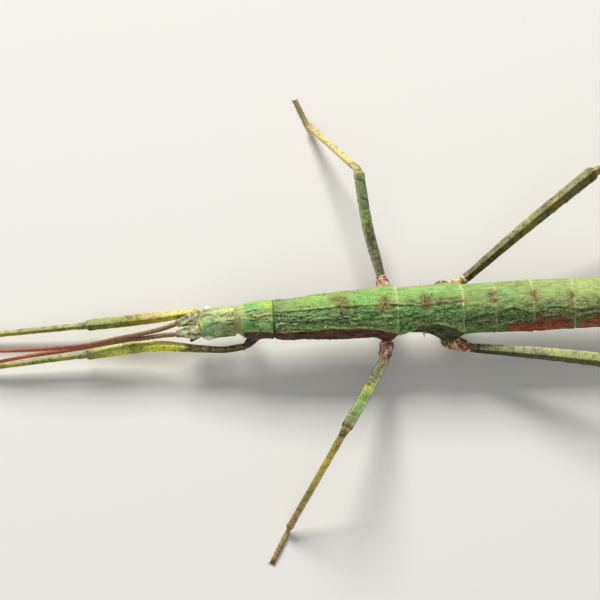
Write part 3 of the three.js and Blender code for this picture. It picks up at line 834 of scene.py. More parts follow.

# %% [markdown]
# The base colours of the back come from two rows of stops along the body, one for the right
# side and one for the left. The left stops are darker: partly the left flank's own darker
# green and partly painted shade, because the lamp lights the right side. On them lie soft
# patches, each with a place, a size and one of the named paints.

# %% Base colours of the back
RIGHT_BACK = [
    (-24, "#787d39"), (-22, "#9ed580"), (-17.6, "#aecd6a"), (-16.9, "#93a966"), (-12, "#94be60"),
    (5, "#90c366"), (14, "#9ab168"), (25, "#aec070"), (42, "#a5b466"), (58, "#93a059"),
]
# darker than the right: the left flank's own green with painted shade laid in
LEFT_BACK_WITH_SHADE = [
    (-24, "#646827"), (-22, "#70a84c"), (-17.8, "#86b058"), (-16.9, "#5e783b"), (-12, "#66903f"),
    (6, "#619743"), (14, "#587030"), (25, "#6a7434"), (42, "#687032"), (58, "#60662e"),
]
PATCHES = [  # X, turn, half length, half width in degrees, colour, strength
    # neck ring and first plate: bright on the right, brown beside the middle
    (-22.3, 15, 0.25, 14, "bark", 0.8),
    (-22.2, 27, 0.22, 8, "umber", 0.9),
    (-22.2, 52, 0.3, 22, "bark", 0.85),
    (-21.7, 0, 0.35, 60, "straw", 0.6),
    (-22.1, -28, 0.5, 26, "cream", 0.9),
    (-20.5, -24, 1.1, 18, "mint", 0.95),
    (-18.9, -35, 0.8, 12, "lime", 0.8),
    (-18.1, -23, 0.6, 20, "lime", 0.95),
    (-19.3, 6, 1.3, 9, "tan", 0.8),
    (-18.3, 11, 0.4, 8, "cream", 0.6),
    (-19.6, 13, 0.7, 4, "umber", 0.8),
    (-20.9, 37, 0.75, 14, "leaf", 0.9),
    (-20.1, 36, 0.22, 14, "forest", 0.7),
    (-18.7, 38, 0.85, 9, "sage", 1.0),
    (-18.5, 51, 0.8, 8, "leaf", 0.7),
    (-20.0, 57, 1.6, 4, "straw", 0.7),
    # second ring: green, with a dark saddle on the left behind its middle
    (-16.3, -34, 0.7, 26, "moss", 0.6),
    (-11.1, -41, 2.0, 21, "lime", 0.35),
    (-8.1, -20, 1.1, 9, "ochre", 0.9),
    (-7.6, -2, 0.4, 4, "tan", 0.75),
    (-5.6, -20, 1.7, 14, "mint", 0.7),
    (-2.1, -53, 1.1, 18, "mint", 0.75),
    (-0.5, -31, 0.6, 28, "sage", 0.7),
    (-2.1, -12, 0.45, 7, "tan", 0.7),
    # the soot patch beside the tuft at X = -2.4 is a painted shadow of the tuft
    (-2.2, 12, 0.3, 4, "soot", 0.85),
    (-0.8, 3, 1.5, 4, "tan", 0.8),
    (-13.0, 16, 2.6, 6, "mint", 0.4),
    (-14.9, 27, 1.3, 5, "forest", 0.75),
    (-12.2, 33, 1.3, 5, "forest", 0.7),
    (-8.1, 26, 1.3, 14, "forest", 0.85),
    (-6.5, 35, 1.2, 7, "forest", 0.6),
    (-5.0, 14, 1.4, 6, "leaf", 0.6),
    (-3.3, 26, 1.1, 4, "forest", 0.4),
    (-4.8, 47, 1.4, 6, "forest", 0.35),
    (-2.3, 47, 1.3, 7, "tan", 0.6),
    (-0.4, 44, 0.6, 14, "forest", 0.4),
    # third ring: a brown middle between green sides
    (3.7, -8, 0.6, 8, "ochre", 0.85),
    (3.7, 10, 0.6, 5, "umber", 0.85),
    (6.8, 1, 2.0, 4, "ochre", 0.75),
    (5.7, 6, 2.2, 3, "umber", 0.6),
    (9.0, 2, 0.4, 8, "ochre", 0.7),
    (1.9, 30, 1.0, 11, "leaf", 0.8),
    (3.4, 54, 1.1, 5, "ochre", 0.6),
    (6.0, 44, 1.6, 7, "forest", 0.3),
    (4.5, -42, 2.6, 22, "sage", 0.45),
    # the abdomen: pale right shoulders, and a dark left side, partly its own colour and partly
    # painted shade
    (11.4, 47, 2.6, 20, "forest", 1.0),
    (13.1, -9, 0.7, 12, "ochre", 0.8),
    (12.9, -38, 1.0, 22, "sage", 0.4),
    (15.3, -24, 1.4, 10, "mint", 0.6),
    (15.4, 5, 1.4, 7, "mint", 0.35),
    (16.9, -42, 0.8, 7, "bark", 0.6),
    (14.9, 43, 2.1, 12, "forest", 0.9),
    (18.2, 44, 2.1, 12, "forest", 0.85),
    (18.7, -4, 0.35, 6, "bark", 0.7),
    (21.0, -20, 0.9, 9, "sage", 0.5),
    (22.0, 42, 2.2, 11, "umber", 0.75),
    (21.6, 14, 2.0, 8, "forest", 0.35),
    (23.5, 14, 0.6, 14, "bark", 0.6),
    (26.2, -22, 1.4, 14, "straw", 0.75),
    (26.2, 42, 2.1, 11, "umber", 0.7),
    (26.8, 13, 1.8, 8, "forest", 0.3),
    # brown bruises on the right wall
    (-15.3, 60, 1.4, 4, "rust", 0.7),
    (-11.1, 67, 2.2, 4, "rust", 0.7),
]


def body_tint(x, turn, points):
    """The base colour of the back at every place, before its fine mottling."""
    thorax = thorax_share(x)
    # the left flank takes the darker stops, which carry painted shade
    left = thorax * step(from_middle(x, turn), -1, 4) + (1 - thorax) * step(turn, 2, 40)
    right_colours, left_colours = read_colours(RIGHT_BACK, x), read_colours(LEFT_BACK_WITH_SHADE, x)
    colours = right_colours * (1 - left[:, None]) + left_colours * left[:, None]
    return np.clip(paint(colours, x, turn, points, PATCHES) * 1.2, 0, 0.95)


print(len(PATCHES), "soft patches on the back")

# %% Build the body skin


def make_body_skin():
    """Rolls up the sheet, draws its ends together and stores the marks on its corners."""
    bm, share, turn = roll(len(BODY_ROWS) - 1, BODY_SIDES)
    row = np.rint(share * (len(BODY_ROWS) - 1)).astype(int)
    x = BODY_ROWS[row]
    points, _ = body_surface(x, turn)
    *_, bend = read_table(OUTLINE, x)
    centre = np.stack([x, bend, 0 * x + AXIS_HEIGHT], 1)
    points = centre + (points - centre) * CLOSING[row][:, None]
    mark(bm, **body_marks(x, turn, points))
    mark_colour(bm, "tint", body_tint(x, turn, points))
    return settle(bm, points)


body_sheet = make_body_skin()
print(len(body_sheet.verts), "corners on the body skin")

# %% [markdown]
# The finish lays the marks over the base colours one by one. Four sizes of unevenness, from
# broad clouds to fine grain, break up each area so that none of it looks painted, and they
# are stronger on the left, where the skin is more wrinkled. The same patterns raise the skin a
# little, so that light and colour change together.

# %% Unevenness of the back


def at_most(f, value, amount):
    """A share of a value, less where the skin is plain."""
    return f.times(f.times(value, amount), f.contrast)


def mottle_back(f, colour):
    """Dark streaks, blots and flecks, and pale ones between them."""
    colour = f.lay_on(colour, f.broad, 0.45, 0.72, 0.22, "#b7bf62")
    for pattern, low, high, amount, shade in (
        (f.streak, 0.52, 0.36, 0.85, "#7d9168"),
        (f.blots, 0.48, 0.36, 0.85, "#84946a"),
        (f.flecks, 0.46, 0.36, 0.4, "#68784c"),
    ):
        dark = at_most(f, f.ranged(pattern, low, high), amount)
        colour = f.blend(dark, colour, shade, "MULTIPLY")
    colour = f.blend(at_most(f, f.ranged(f.blots, 0.54, 0.68), 0.45), colour, "#9fcf7c")
    rougher = f.ranged(f.contrast, 0.4, 1, 0.12, 0.6)
    pale = f.times(f.ranged(f.flecks, 0.53, 0.63), rougher)
    return f.blend(pale, colour, "#c6dd9c")


print("6 layers of unevenness on the back")

# %% Lines and borders of the back


def line_back(f, colour):
    """Stains, a highlight painted on the middle ridge, the pale wavy ridges, shade and highlight
    painted on wrinkles and folds, pale rims, and a painted shadow beside the middle ridge.
    """
    for name, fade, tint in (
        ("stain", (0.35, 0.6, 0.1, 0.6), "#84694a"),
        ("smudge", (0.4, 0.6, 0.1, 0.7), "#6f6238"),
        # the ridge entry is a painted highlight on the middle ridge
        ("ridge", (0.4, 0.6, 0, 0.6), "#c3cb8c"),
        ("wavy", (0.35, 0.55, 0.2, 0.9), "#b5cb98"),
    ):
        colour = f.blend(f.where(name, f.blots, *fade), colour, tint)
    # painted shade in the creases, the wrinkle furrows and the folds; painted highlight on the
    # wrinkle crests and the fold lips
    crease_shade = f.times(f.marked("crease_shade"), 0.6)
    colour = f.blend(crease_shade, colour, "#4c5d38", "MULTIPLY")
    furrow_shade = f.ranged(f.away(f.wrinkle, 0.5), 0.0, 0.035, 1, 0)
    colour = f.blend(at_most(f, furrow_shade, 0.35), colour, "#5c6c42", "MULTIPLY")
    crest_highlight = f.ranged(f.away(f.wrinkle, 0.56), 0.0, 0.035, 1, 0)
    colour = f.blend(at_most(f, crest_highlight, 0.22), colour, "#c3dda0")
    colour = f.blend(f.where("lip", f.flecks, 0.42, 0.55, 0.1, 0.7), colour, "#c9dda2")
    fold = f.where("fold", f.flecks, 0.6, 0.42, 0.3, 0.95)
    colour = f.blend(fold, colour, "#34422a", "MULTIPLY")
    colour = f.blend(f.where("rims", f.blots, 0.34, 0.52, 0.45, 1), colour, "#ecf2a6")
    colour = f.blend(f.where("pale_edge", f.blots, 0.36, 0.56), colour, "#bfae6c")
    # painted shadow beside the middle ridge, together with the dark first joint
    line = f.ranged(f.marked("ridge_shadow_and_joint"), 0.1, 0.9)
    dark = f.times(line, f.ranged(f.blots, 0.3, 0.6, 1, 0.45))
    return f.blend(dark, colour, "#232b14")


print("12 kinds of line and stain on the back")

# %% Walls, patches and belly


def colour_sides(f, colour):
    """The dark walls of the thorax, their own dark brown deepened by painted shade under the side
    edge, the red-brown patches and the dull belly.
    """
    # the wall's own dark brown, darkened further as painted shade under the side edge
    wall_with_shade = f.blend(f.ranged(f.streak, 0.35, 0.65), "#221411", "#68392c")
    wall_with_shade = f.lay_on(wall_with_shade, f.blots, 0.55, 0.68, 0.6, "#8a6450")
    wall_with_shade = f.blend(f.times(f.marked("wall_line"), 0.7), wall_with_shade, "#7a3426")
    colour = f.blend(f.marked("wall_with_shade"), colour, wall_with_shade)
    # the hind wall likewise: its own dark olive deepened by painted shade
    hind = f.blend(f.ranged(f.blots, 0.35, 0.65), "#1a1d10", "#566236")
    hind = f.lay_on(hind, f.streak, 0.54, 0.66, 0.7, "#5c3d24")
    colour = f.blend(f.marked("hind_wall_with_shade"), colour, hind)
    red = f.blend(f.ranged(f.streak, 0.35, 0.65), "#5c2214", "#c0523a")
    red = f.lay_on(red, f.flecks, 0.56, 0.68, 0.6, "#c08a62")
    red = f.lay_on(red, f.blots, 0.42, 0.32, 0.7, "#3a2a16")
    cover = f.where("patch", f.blots, 0.28, 0.46, 0.5, 1)
    fringe = f.times(f.ranged(cover, 0.02, 0.35), 0.75)
    brown = f.blend(f.ranged(f.flecks, 0.4, 0.6), "#4c3a1e", "#7d6038")
    colour = f.blend(fringe, colour, brown)
    colour = f.blend(f.ranged(cover, 0.2, 0.95), colour, red)
    belly = f.blend(f.ranged(f.broad, 0.3, 0.7), "#3f3220", "#7a6f44")
    return f.blend(f.marked("under"), colour, belly)


print("2 dark walls, patches and belly")

# %% Finish of the body


def finish_body():
    """Base colours, unevenness, lines, sides, tufts and dots, then the fine relief."""
    f = Finish("body_skin")
    f.contrast = f.marked("contrast")
    f.broad = f.mottle((0.35, 0.7, 0.7))
    f.streak = f.mottle((0.6, 1.7, 1.7), 4, bend=0.5)
    f.blots = f.mottle((1.1, 1.9, 1.9), bend=0.3)
    f.flecks = f.mottle((3.0, 4.2, 4.2), bend=0.2)
    f.wrinkle = f.mottle((0.7, 1.6, 1.6), 3, bend=0.5)
    fine = f.mottle((7, 9, 9), 4)
    colour = colour_sides(f, line_back(f, mottle_back(f, f.painted("tint"))))
    knobs = f.blend(f.ranged(f.flecks, 0.4, 0.62), "#48361a", "#a08840")
    colour = f.blend(f.where("tuft", f.flecks, 0.35, 0.6, 0.55, 0.95), colour, knobs)
    colour = f.lay_on(colour, f.marked("dot"), 0.3, 0.7, 0.85, "#1f2412")
    neck = f.blend(f.blots, "#7c7038", "#d8cf88")
    colour = f.blend(f.times(f.marked("neck"), 0.35), colour, neck)
    colour = f.lay_on(colour, fine, 0.45, 0.7, 0.12, "#e4e6b4")
    f.raise_skin(f.cells((2.6, 3.8, 3.8)), 0.04, 0.7)
    f.raise_skin(f.ranged(f.away(f.wrinkle, 0.5), 0.0, 0.05), 0.035, 0.8)
    f.raise_skin(f.blots, 0.2, 0.9)
    f.raise_skin(f.flecks, 0.1, 0.9)
    f.raise_skin(fine, 0.04, 0.6)
    return f.coat(colour, f.ranged(fine, 0.3, 0.7, 0.5, 0.68), specular=0.25)


finish_piece("body_skin", body_sheet, finish_body(), RINGS)

# %% [markdown]
# ## Granules, knobs and spines
#
# The plates are strewn with pale granules, far more than anyone would place by hand. Each is
# a small flattened ball of twenty faces, set on the skin by the same function that shaped the
# skin, and they are joined into one mesh. The brown tufts are clumps of bigger knobs, and the
# few real spines are cones whose tips are rounded off.

# %% Set one granule on the skin
luck = np.random.default_rng(11)


def skin_spot(x, turn):
    """One place on the body skin, and the way that it faces."""
    point, facing = body_surface(np.array([float(x)]), np.array([float(turn)]))
    return Vector(point[0]), Vector(facing[0])


def set_grain(bm, point, facing, size, flat=0.6, long=1.0, level=1):
    """A small ball pressed into the skin, longest along the body."""
    turned = facing.to_track_quat("Z", "X").to_matrix().to_4x4()
    local = turned.inverted() @ Vector((1, 0, 0, 0))
    spin = Matrix.Rotation(math.atan2(local.y, local.x), 4, "Z")
    shape = Matrix.Diagonal((size * long, size, size * flat, 1))
    place = Matrix.Translation(point) @ turned @ spin @ shape
    return bmesh.ops.create_icosphere(bm, subdivisions=level, radius=1, matrix=place)["verts"]


print("a trial spot on the skin:", [round(value, 2) for value in skin_spot(-8, 20)[0]])

# %% Strew the granules


def scatter_granules():
    """X, turn, size and length of every granule."""
    spots = []
    for _ in range(210):  # the left of the middle thorax
        x = luck.uniform(-16.8, -0.5)
        turn = luck.choice([luck.normal(15, 3.5), luck.normal(44, 5), luck.uniform(4, 56)])
        spots.append((x, turn, luck.uniform(0.05, 0.11), luck.uniform(1.0, 2.4)))
    for _ in range(120):  # its right, where they are fewer and smaller
        x, turn = luck.uniform(-16.8, 0), luck.uniform(-70, -4)
        spots.append((x, turn, luck.uniform(0.035, 0.07), 1.2))
    for _ in range(170):  # the hind thorax
        x = luck.uniform(0.4, 9)
        turn = luck.choice([luck.normal(24, 8), luck.normal(45, 6), luck.uniform(-75, 60)])
        spots.append((x, turn, luck.uniform(0.045, 0.1), luck.uniform(1, 2)))
    for _ in range(560):  # the abdomen, fewer towards the tail
        x = 9.3 + 47 * luck.uniform(0, 1) ** 1.15
        turn = luck.uniform(-95, 95)
        spots.append((x, turn, luck.uniform(0.04, 0.085), luck.uniform(1.2, 3.6)))
    for _ in range(50):  # the first plate
        turn = luck.choice([luck.normal(12, 8), luck.normal(45, 14), luck.uniform(-60, 60)])
        x = luck.uniform(-21.6, -17.7)
        spots.append((x, turn, luck.uniform(0.05, 0.09), luck.uniform(1, 2.2)))
    return np.array(spots)


def make_granules():
    """All granules as one mesh, kept clear of the side edge and of the joints."""
    bm = bmesh.new()
    spots = scatter_granules()
    limit = line_at(SIDE_EDGE, spots[:, 0]) - 4
    near_joint = np.min(np.abs(spots[:, :1] - np.array(JOINTS)), axis=1)
    spots = spots[(np.abs(spots[:, 1]) < limit) & (near_joint > 0.25)]
    points, facings = body_surface(spots[:, 0], spots[:, 1])
    tints = body_tint(spots[:, 0], spots[:, 1], points)
    pale = np.array(linear("#cfe0a4")[:3])
    layer = bm.verts.layers.float_color.new("tint")
    for (_, _, size, long), point, facing, tint in zip(spots, points, facings, tints):
        shade = tint + (pale - tint) * luck.uniform(0.1, 0.6)
        for v in set_grain(bm, Vector(point), Vector(facing), size, 0.7, long):
            v[layer] = (*shade, 1)
    return bm


granules = make_granules()
print(len(granules.faces) // 20, "granules")

# %% Tufts of brown knobs


def make_tufts():
    """A clump of knobs in each tuft, close together in its middle."""
    bm = bmesh.new()
    for x, turn, radius in TUFTS:
        for _ in range(int(7 + radius * 14)):
            aside, ahead = luck.normal(0, radius * 0.5), luck.normal(0, radius * 0.7)
            point, facing = skin_spot(x + ahead, turn + math.degrees(aside / BACK_RADIUS))
            size = luck.uniform(0.04, 0.11)
            set_grain(bm, point, facing, size, luck.uniform(0.5, 0.9), luck.uniform(1, 2), 2)
    return bm


tufts = make_tufts()
print(len(tufts.faces) // 80, "knobs in", len(TUFTS), "tufts")

# %% [markdown]
# A spine could be a ready-made cone, but that has a sharp rim at its foot and a needle tip. It
# is grown instead, as the claws are later: a small ring is extruded from station to station,
# and each station turns and shrinks it a little more.

# %% Grow a horn


def grow(bm, stations, segments=10):
    """A closed horn: a ring extruded from station to station."""
    ring = bmesh.ops.create_circle(
        bm, cap_ends=True, segments=segments, radius=1, matrix=stations[0],
    )["verts"]
    edges = list({e for v in ring for e in v.link_edges})
    for last, station in zip(stations, stations[1:]):
        made = bmesh.ops.extrude_edge_only(bm, edges=edges)["geom"]
        ring = {g for g in made if isinstance(g, bmesh.types.BMVert)}
        edges = [g for g in made if isinstance(g, bmesh.types.BMEdge) and set(g.verts) <= ring]
        bmesh.ops.transform(bm, matrix=station @ last.inverted(), verts=list(ring))
    bmesh.ops.edgeloop_fill(bm, edges=edges)


THORN_PROFILE = [  # share of the height, share of the foot's radius
    (-0.25, 1.0), (0.12, 0.72), (0.35, 0.46), (0.6, 0.29), (0.82, 0.18), (0.95, 0.11),
    (1.0, 0.03),
]


def add_thorn(bm, root, way, height, foot):
    """A cone with a wide foot and a rounded tip, its root sunk into the skin."""
    stand = Matrix.Translation(root) @ Vector(way).to_track_quat("Z", "X").to_matrix().to_4x4()
    grow(bm, [
        stand @ Matrix.Translation((0, 0, up * height)) @ Matrix.Scale(foot * wide, 4)
        for up, wide in THORN_PROFILE
    ])


print(len(THORN_PROFILE), "stations in a spine")

# %% Make the spines
PALE_TIP_HEIGHT = 0.6
SPINES = [  # X, turn, height, foot
    (-10.35, 48, 0.62, 0.26), (-10.3, -48, 0.45, 0.24), (3.45, 104, 0.8, 0.3),
    (3.5, -80, 0.8, 0.3), (6.3, -76, 0.65, 0.28), (6.3, 112, 0.5, 0.28),
    (9.0, 84, 0.3, 0.24), (-21.7, 96, 0.35, 0.22), (-21.7, -96, 0.35, 0.22),
    (-17.05, 41, 0.25, 0.2), (-17.05, -41, 0.25, 0.2), (-2.45, 5, 0.35, 0.24),
    (3.55, -6, 0.32, 0.24), (-8.1, -9, 0.3, 0.22), (-13.6, 30, 0.22, 0.18),
    (-6.2, 44, 0.28, 0.18), (-15.8, -38, 0.22, 0.18),
]


def make_spines():
    """Every spine, marked from 0 at the skin to 1 where its tip is palest."""
    bm = bmesh.new()
    for x, turn, height, foot in SPINES:
        point, facing = skin_spot(x, turn)
        add_thorn(bm, point, facing, height, foot)
    levels = [skin_spot(x, turn) for x, turn, _, _ in SPINES]
    heights = []
    for v in bm.verts:
        point, facing = min(levels, key=lambda pair: (v.co - pair[0]).length)
        heights.append((v.co - point).dot(facing) / PALE_TIP_HEIGHT)
    mark(bm, tip=np.clip(heights, 0, 1))
    bmesh.ops.recalc_face_normals(bm, faces=bm.faces)
    return bm


print(len(SPINES), "spines")

# %% Finishes of granules, knobs and spines


def finish_granules():
    f = Finish("pale_granules")
    return f.coat(f.painted("tint"), 0.7, specular=0.2)


def finish_tufts():
    f = Finish("tuft_knobs")
    stops = [(0.36, "#54421a"), (0.5, "#86723a"), (0.66, "#d0b98c")]
    return f.coat(f.bands(f.mottle((3, 3, 3)), stops), 0.6)


def finish_spines():
    f = Finish("spines")
    stops = [(0.0, "#8aa763"), (0.35, "#c3cc9a"), (0.8, "#f0ecd6"), (1.0, "#d8b98a")]
    return f.coat(f.bands(f.marked("tip"), stops), 0.4)


finish_piece("granules", granules, finish_granules())
finish_piece("tuft_knobs", tufts, finish_tufts())
finish_piece("spines", make_spines(), finish_spines())

# %% [markdown]
# ## The head
#
# The head is a rounded box, a little wider behind the eyes than at its front. A cube with
# bevels would do for its outline, but not for its skin, so it is rolled like the body, with
# its rows crowded at the front so that the face closes in a dome. Its forms are shallow: a
# Y-shaped seam on top, a rim round each eye, a pit under each feeler and a few paired knobs
# near its hind edge.

# %% Outline and lines of the head
HEAD_FRONT, HEAD_BACK = -28.42, -22.45
HEAD_RADIUS = 2.1
HEAD = np.array([  # X, half width, height above the axis, depth below it
    [HEAD_FRONT, 1.05, 0.42, 0.7], [-28.1, 1.6, 0.85, 1.2], [-27.4, 1.98, 1.38, 1.6],
    [-26.3, 2.14, 1.88, 1.8], [-24.9, 2.16, 2.0, 1.85], [-23.6, 2.14, 1.94, 1.78],
    [-22.95, 2.1, 1.84, 1.7], [-22.7, 1.98, 1.7, 1.58], [HEAD_BACK, 1.66, 1.4, 1.3],
])
HEAD_AXIS = np.array([[HEAD_FRONT, 5.6], [HEAD_BACK, 6.0]])  # X, height
HEAD_SIDE = 0.14
HEAD_FOLDS = [  # lines of (X, turn) where the skin is folded in
    [(-27.7, -3), (-27.3, -16), (-26.6, -16), (-26.0, -7)],
    [(-26.5, 29), (-25.6, 25), (-24.8, 19)],
    [(-24.6, 35), (-23.7, 31), (-22.8, 27), (-22.5, 25)],
    [(-24.8, 1), (-23.9, -11), (-23.1, -16), (-22.5, -7)],
    [(-23.9, 17), (-23.2, 21), (-22.7, 13)],
    [(-26.9, 73), (-26.2, 69), (-25.8, 55), (-25.9, 42)],
    [(-25.8, 76), (-24.8, 62), (-23.7, 60), (-23.0, 67)],
    [(-27.9, 11), (-27.7, 38), (-27.4, 70)],
]
HEAD_SEAMS = [  # and lines where a pale seam stands up
    [(-25.9, -16), (-25.3, -3), (-24.9, 11), (-24.4, 25)], [(-24.3, 13), (-24.8, 18), (-25.5, 13)],
    [(-22.65, 33), (-22.65, 80)], [(-25.2, 60), (-24.9, 74), (-25.5, 76), (-25.8, 62)],
]
print(len(HEAD_FOLDS), "folds and", len(HEAD_SEAMS), "seams on the head")

# %% Surface of the head
EYE_X = -26.6
EYE_TURNS = {"right": -51, "left": 93}
EYE_RADII = Vector((0.66, 0.52, 0.4))  # along, round and out from the head
EYE_SOCKET = np.array([0.66, 0.52, 0.52])
EYE_AXIS = 5.8


def eye_centre(turn):
    """Where an eye sits on the outline of the head."""
    half, above, _ = read_table(HEAD, EYE_X)
    a = math.radians(turn)
    return np.array([EYE_X, HEAD_SIDE - half * math.sin(a), EYE_AXIS + above * math.cos(a)])


def both_sides(x, turn, place, round_at, radius):
    """1 inside a spot and inside its mirror image."""
    return around_spots(x, turn, [(place, s * round_at, radius) for s in (-1, 1)], 2.0)


def head_surface(x, turn, shrink=1.0):
    """Corner places on the head, and the way that each faces."""
    half, above, below = read_table(HEAD, x)
    axis = line_at(HEAD_AXIS, x)
    plain, facing = oval(x, turn, half, above, below, HEAD_SIDE, axis, shrink)
    side = np.abs(turn)
    # folds with their lips, then the seams and the low dome on each side of the crown
    height = -0.09 * near_lines(x, turn, plain, HEAD_FOLDS, HEAD_RADIUS, 0.1)
    height += 0.06 * near_lines(x, turn, plain, HEAD_FOLDS, HEAD_RADIUS, 0.13, 6.0)
    height += 0.06 * near_lines(x, turn, plain, HEAD_SEAMS, HEAD_RADIUS, 0.1)
    height += 0.1 * hill(side, 24, 20) * hill(x, -24.0, 1.6)
    # three pairs of knobs, the groove before the hind rim and the pits of the feelers
    height += 0.06 * both_sides(x, turn, -23.3, 14, 0.22)
    height += 0.1 * both_sides(x, turn, -23.9, 40, 0.26)
    height += 0.07 * both_sides(x, turn, -23.2, 62, 0.24)
    height -= 0.06 * hill(x, -22.75, 0.14)
    height -= 0.12 * hill(side, 62, 26) * hill(x, -27.9, 0.5)
    for eye_turn in EYE_TURNS.values():  # a rim and a socket round each eye
        from_eye = np.linalg.norm((plain - eye_centre(eye_turn)) / EYE_SOCKET, axis=1)
        height += 0.1 * hill(from_eye, 1.28, 0.2) - 0.22 * (1 - step(from_eye, 0.7, 1.0))
    height += 0.05 * grain(plain, (1.4, 2.0, 2.0)) + 0.03 * grain(plain, (3.5, 4.5, 4.5), 3.0)
    return plain + facing * (height * shrink)[:, None], facing


print("an eye sits at", [round(float(value), 2) for value in eye_centre(EYE_TURNS["left"])])

# %% Patches and marks of the head
HEAD_PATCHES = [  # X, turn, half length, half width in degrees, colour, strength
    # the bar over the mouth, then the brow between the feelers
    (-27.95, 18, 0.5, 34, "cream", 0.95),
    (-27.9, 65, 0.4, 23, "tan", 0.8),
    (-27.3, -9, 0.4, 9, "straw", 0.6),
    (-26.7, 8, 0.85, 20, "sage", 0.6),
    (-26.9, 40, 0.7, 12, "mint", 0.55),
    (-25.5, 4, 0.7, 17, "sage", 0.6),
    (-25.9, 23, 1.0, 6, "forest", 0.75),
    # the crown and the pale right cheek
    (-25.8, -30, 0.85, 14, "straw", 0.7),
    (-24.1, -27, 1.1, 16, "straw", 0.75),
    (-24.6, 13, 0.5, 9, "cream", 0.5),
    (-23.7, -5, 0.7, 9, "ochre", 0.85),
    (-23.2, 8, 0.55, 8, "tan", 0.8),
    (-23.4, 20, 0.65, 6, "ochre", 0.75),
    (-24.2, 32, 0.65, 5, "forest", 0.45),
    (-25.4, 48, 0.85, 15, "sage", 0.3),
    (-23.9, 53, 0.85, 16, "moss", 0.6),
    # the hind rim, with two dark nicks
    (-23.0, -27, 0.6, 20, "cream", 0.75),
    (-23.1, -10, 0.35, 9, "umber", 0.95),
    (-23.0, 28, 0.4, 6, "umber", 0.9),
    (-23.2, 52, 0.5, 24, "ochre", 0.85),
    # the shaded left cheek
    (-26.3, 76, 1.1, 18, "moss", 0.6),
    (-24.2, 83, 1.25, 17, "forest", 0.5),
]


def head_marks(x, turn, points):
    """The front, the cheeks, the folds and the seams, by name."""
    return {
        "front": 1 - step(x, -27.8, -27.2),
        # painted shade on the lower cheeks and in the folds; painted highlight on the lips beside
        # the folds
        "lower_cheek_shade": step(np.abs(turn), 84, 104),
        "fold": near_lines(x, turn, points, HEAD_FOLDS, HEAD_RADIUS, 0.085),
        "lip": near_lines(x, turn, points, HEAD_FOLDS, HEAD_RADIUS, 0.12, 6.0),
        "seam": near_lines(x, turn, points, HEAD_SEAMS, HEAD_RADIUS, 0.1),
    }


print(len(HEAD_PATCHES), "patches on the head")

# %% Build the head skin
FACE_CLOSING, NAPE_CLOSING = (0, 0.35, 0.62, 0.82, 0.94), (0.9, 0.5, 0)
FACE_DOME = 0.22


def make_head_skin():
    """Rolls up the head; its first rows close the face and its last ones the nape."""
    face, nape = len(FACE_CLOSING), len(NAPE_CLOSING)
    rows = np.concatenate([
        HEAD_FRONT + 0.27 * np.linspace(0, 1, 6) ** 1.4,
        np.linspace(-28.1, -22.6, 92),
        [-22.52, -22.46, HEAD_BACK],
    ])
    rows = np.concatenate([[rows[0]] * face, rows, [rows[-1]] * nape])
    shrink = np.ones(len(rows))
    shrink[:face], shrink[-nape:] = FACE_CLOSING, NAPE_CLOSING
    bm, share, turn = roll(len(rows) - 1, 128)
    row = np.rint(share * (len(rows) - 1)).astype(int)
    x, close = rows[row], shrink[row]
    points, _ = head_surface(x, turn, close)
    points[:, 0] -= np.where(row < face, FACE_DOME * np.sqrt(np.clip(1 - close**2, 0, 1)), 0)
    mark(bm, **head_marks(x, turn, points))
    base = read_colours([(-40, "#9ca97c"), (40, "#849a66")], turn)
    tint = paint(base, x, turn, points, HEAD_PATCHES) * 1.35
    mark_colour(bm, "tint", np.clip(tint, 0, 0.95))
    return settle(bm, points)


head_sheet = make_head_skin()
print(len(head_sheet.verts), "corners on the head skin")

# %% [markdown]
# The head has the same waxy skin as the back, only paler and with finer marks: yellowish over
# the mouth, with painted shade in dark brown on the lower cheeks and in the folds, and painted
# highlight on the lips of the folds.

# %% Finish of the head


def finish_head():
    f = Finish("head_skin")
    patchy, flecks = f.mottle((1.1, 1.6, 1.6), bend=0.3), f.mottle((3.4, 4.4, 4.4), bend=0.2)
    fine = f.mottle((8, 9, 9), 4)
    colour = f.painted("tint")
    colour = f.lay_on(colour, patchy, 0.48, 0.36, 0.5, "#8c9a70", "MULTIPLY")
    colour = f.lay_on(colour, flecks, 0.46, 0.36, 0.35, "#6c784c", "MULTIPLY")
    colour = f.lay_on(colour, patchy, 0.56, 0.68, 0.35, "#b3c587")
    colour = f.lay_on(colour, flecks, 0.54, 0.66, 0.28, "#cdd6a0")
    front = f.blend(f.ranged(patchy, 0.4, 0.6), "#857c44", "#d0c87c")
    colour = f.blend(f.times(f.marked("front"), 0.55), colour, front)
    # painted shade on the lower cheeks, then painted highlight on the fold lips and painted shade
    # in the folds
    colour = f.blend(f.times(f.marked("lower_cheek_shade"), 0.8), colour, "#5a5230")
    colour = f.blend(f.where("lip", flecks, 0.42, 0.55, 0.1, 0.6), colour, "#cfd9a0")
    colour = f.blend(f.times(f.marked("fold"), 0.8), colour, "#4a5530", "MULTIPLY")
    colour = f.blend(f.times(f.marked("seam"), 0.85), colour, "#e2e6b4")
    colour = f.lay_on(colour, fine, 0.5, 0.75, 0.2, "#d6dba8")
    f.raise_skin(f.cells((4.5, 5, 5)), 0.045, 0.7)
    f.raise_skin(patchy, 0.12, 0.9)
    f.raise_skin(flecks, 0.06, 0.9)
    f.raise_skin(fine, 0.02, 0.5)
    return f.coat(colour, f.ranged(fine, 0.3, 0.7, 0.48, 0.62))


finish_piece("head_skin", head_sheet, finish_head(), ["head"])

# %% [markdown]
# ## Eyes
#
# A compound eye is a bead of hundreds of tiny lenses under one glossy coat. A ball of even
# facets is squeezed to the eye's three radii and half sunk into the head; the lenses
# themselves are too small to model, so a cell pattern raises them in the finish.

# %% Make the eyes


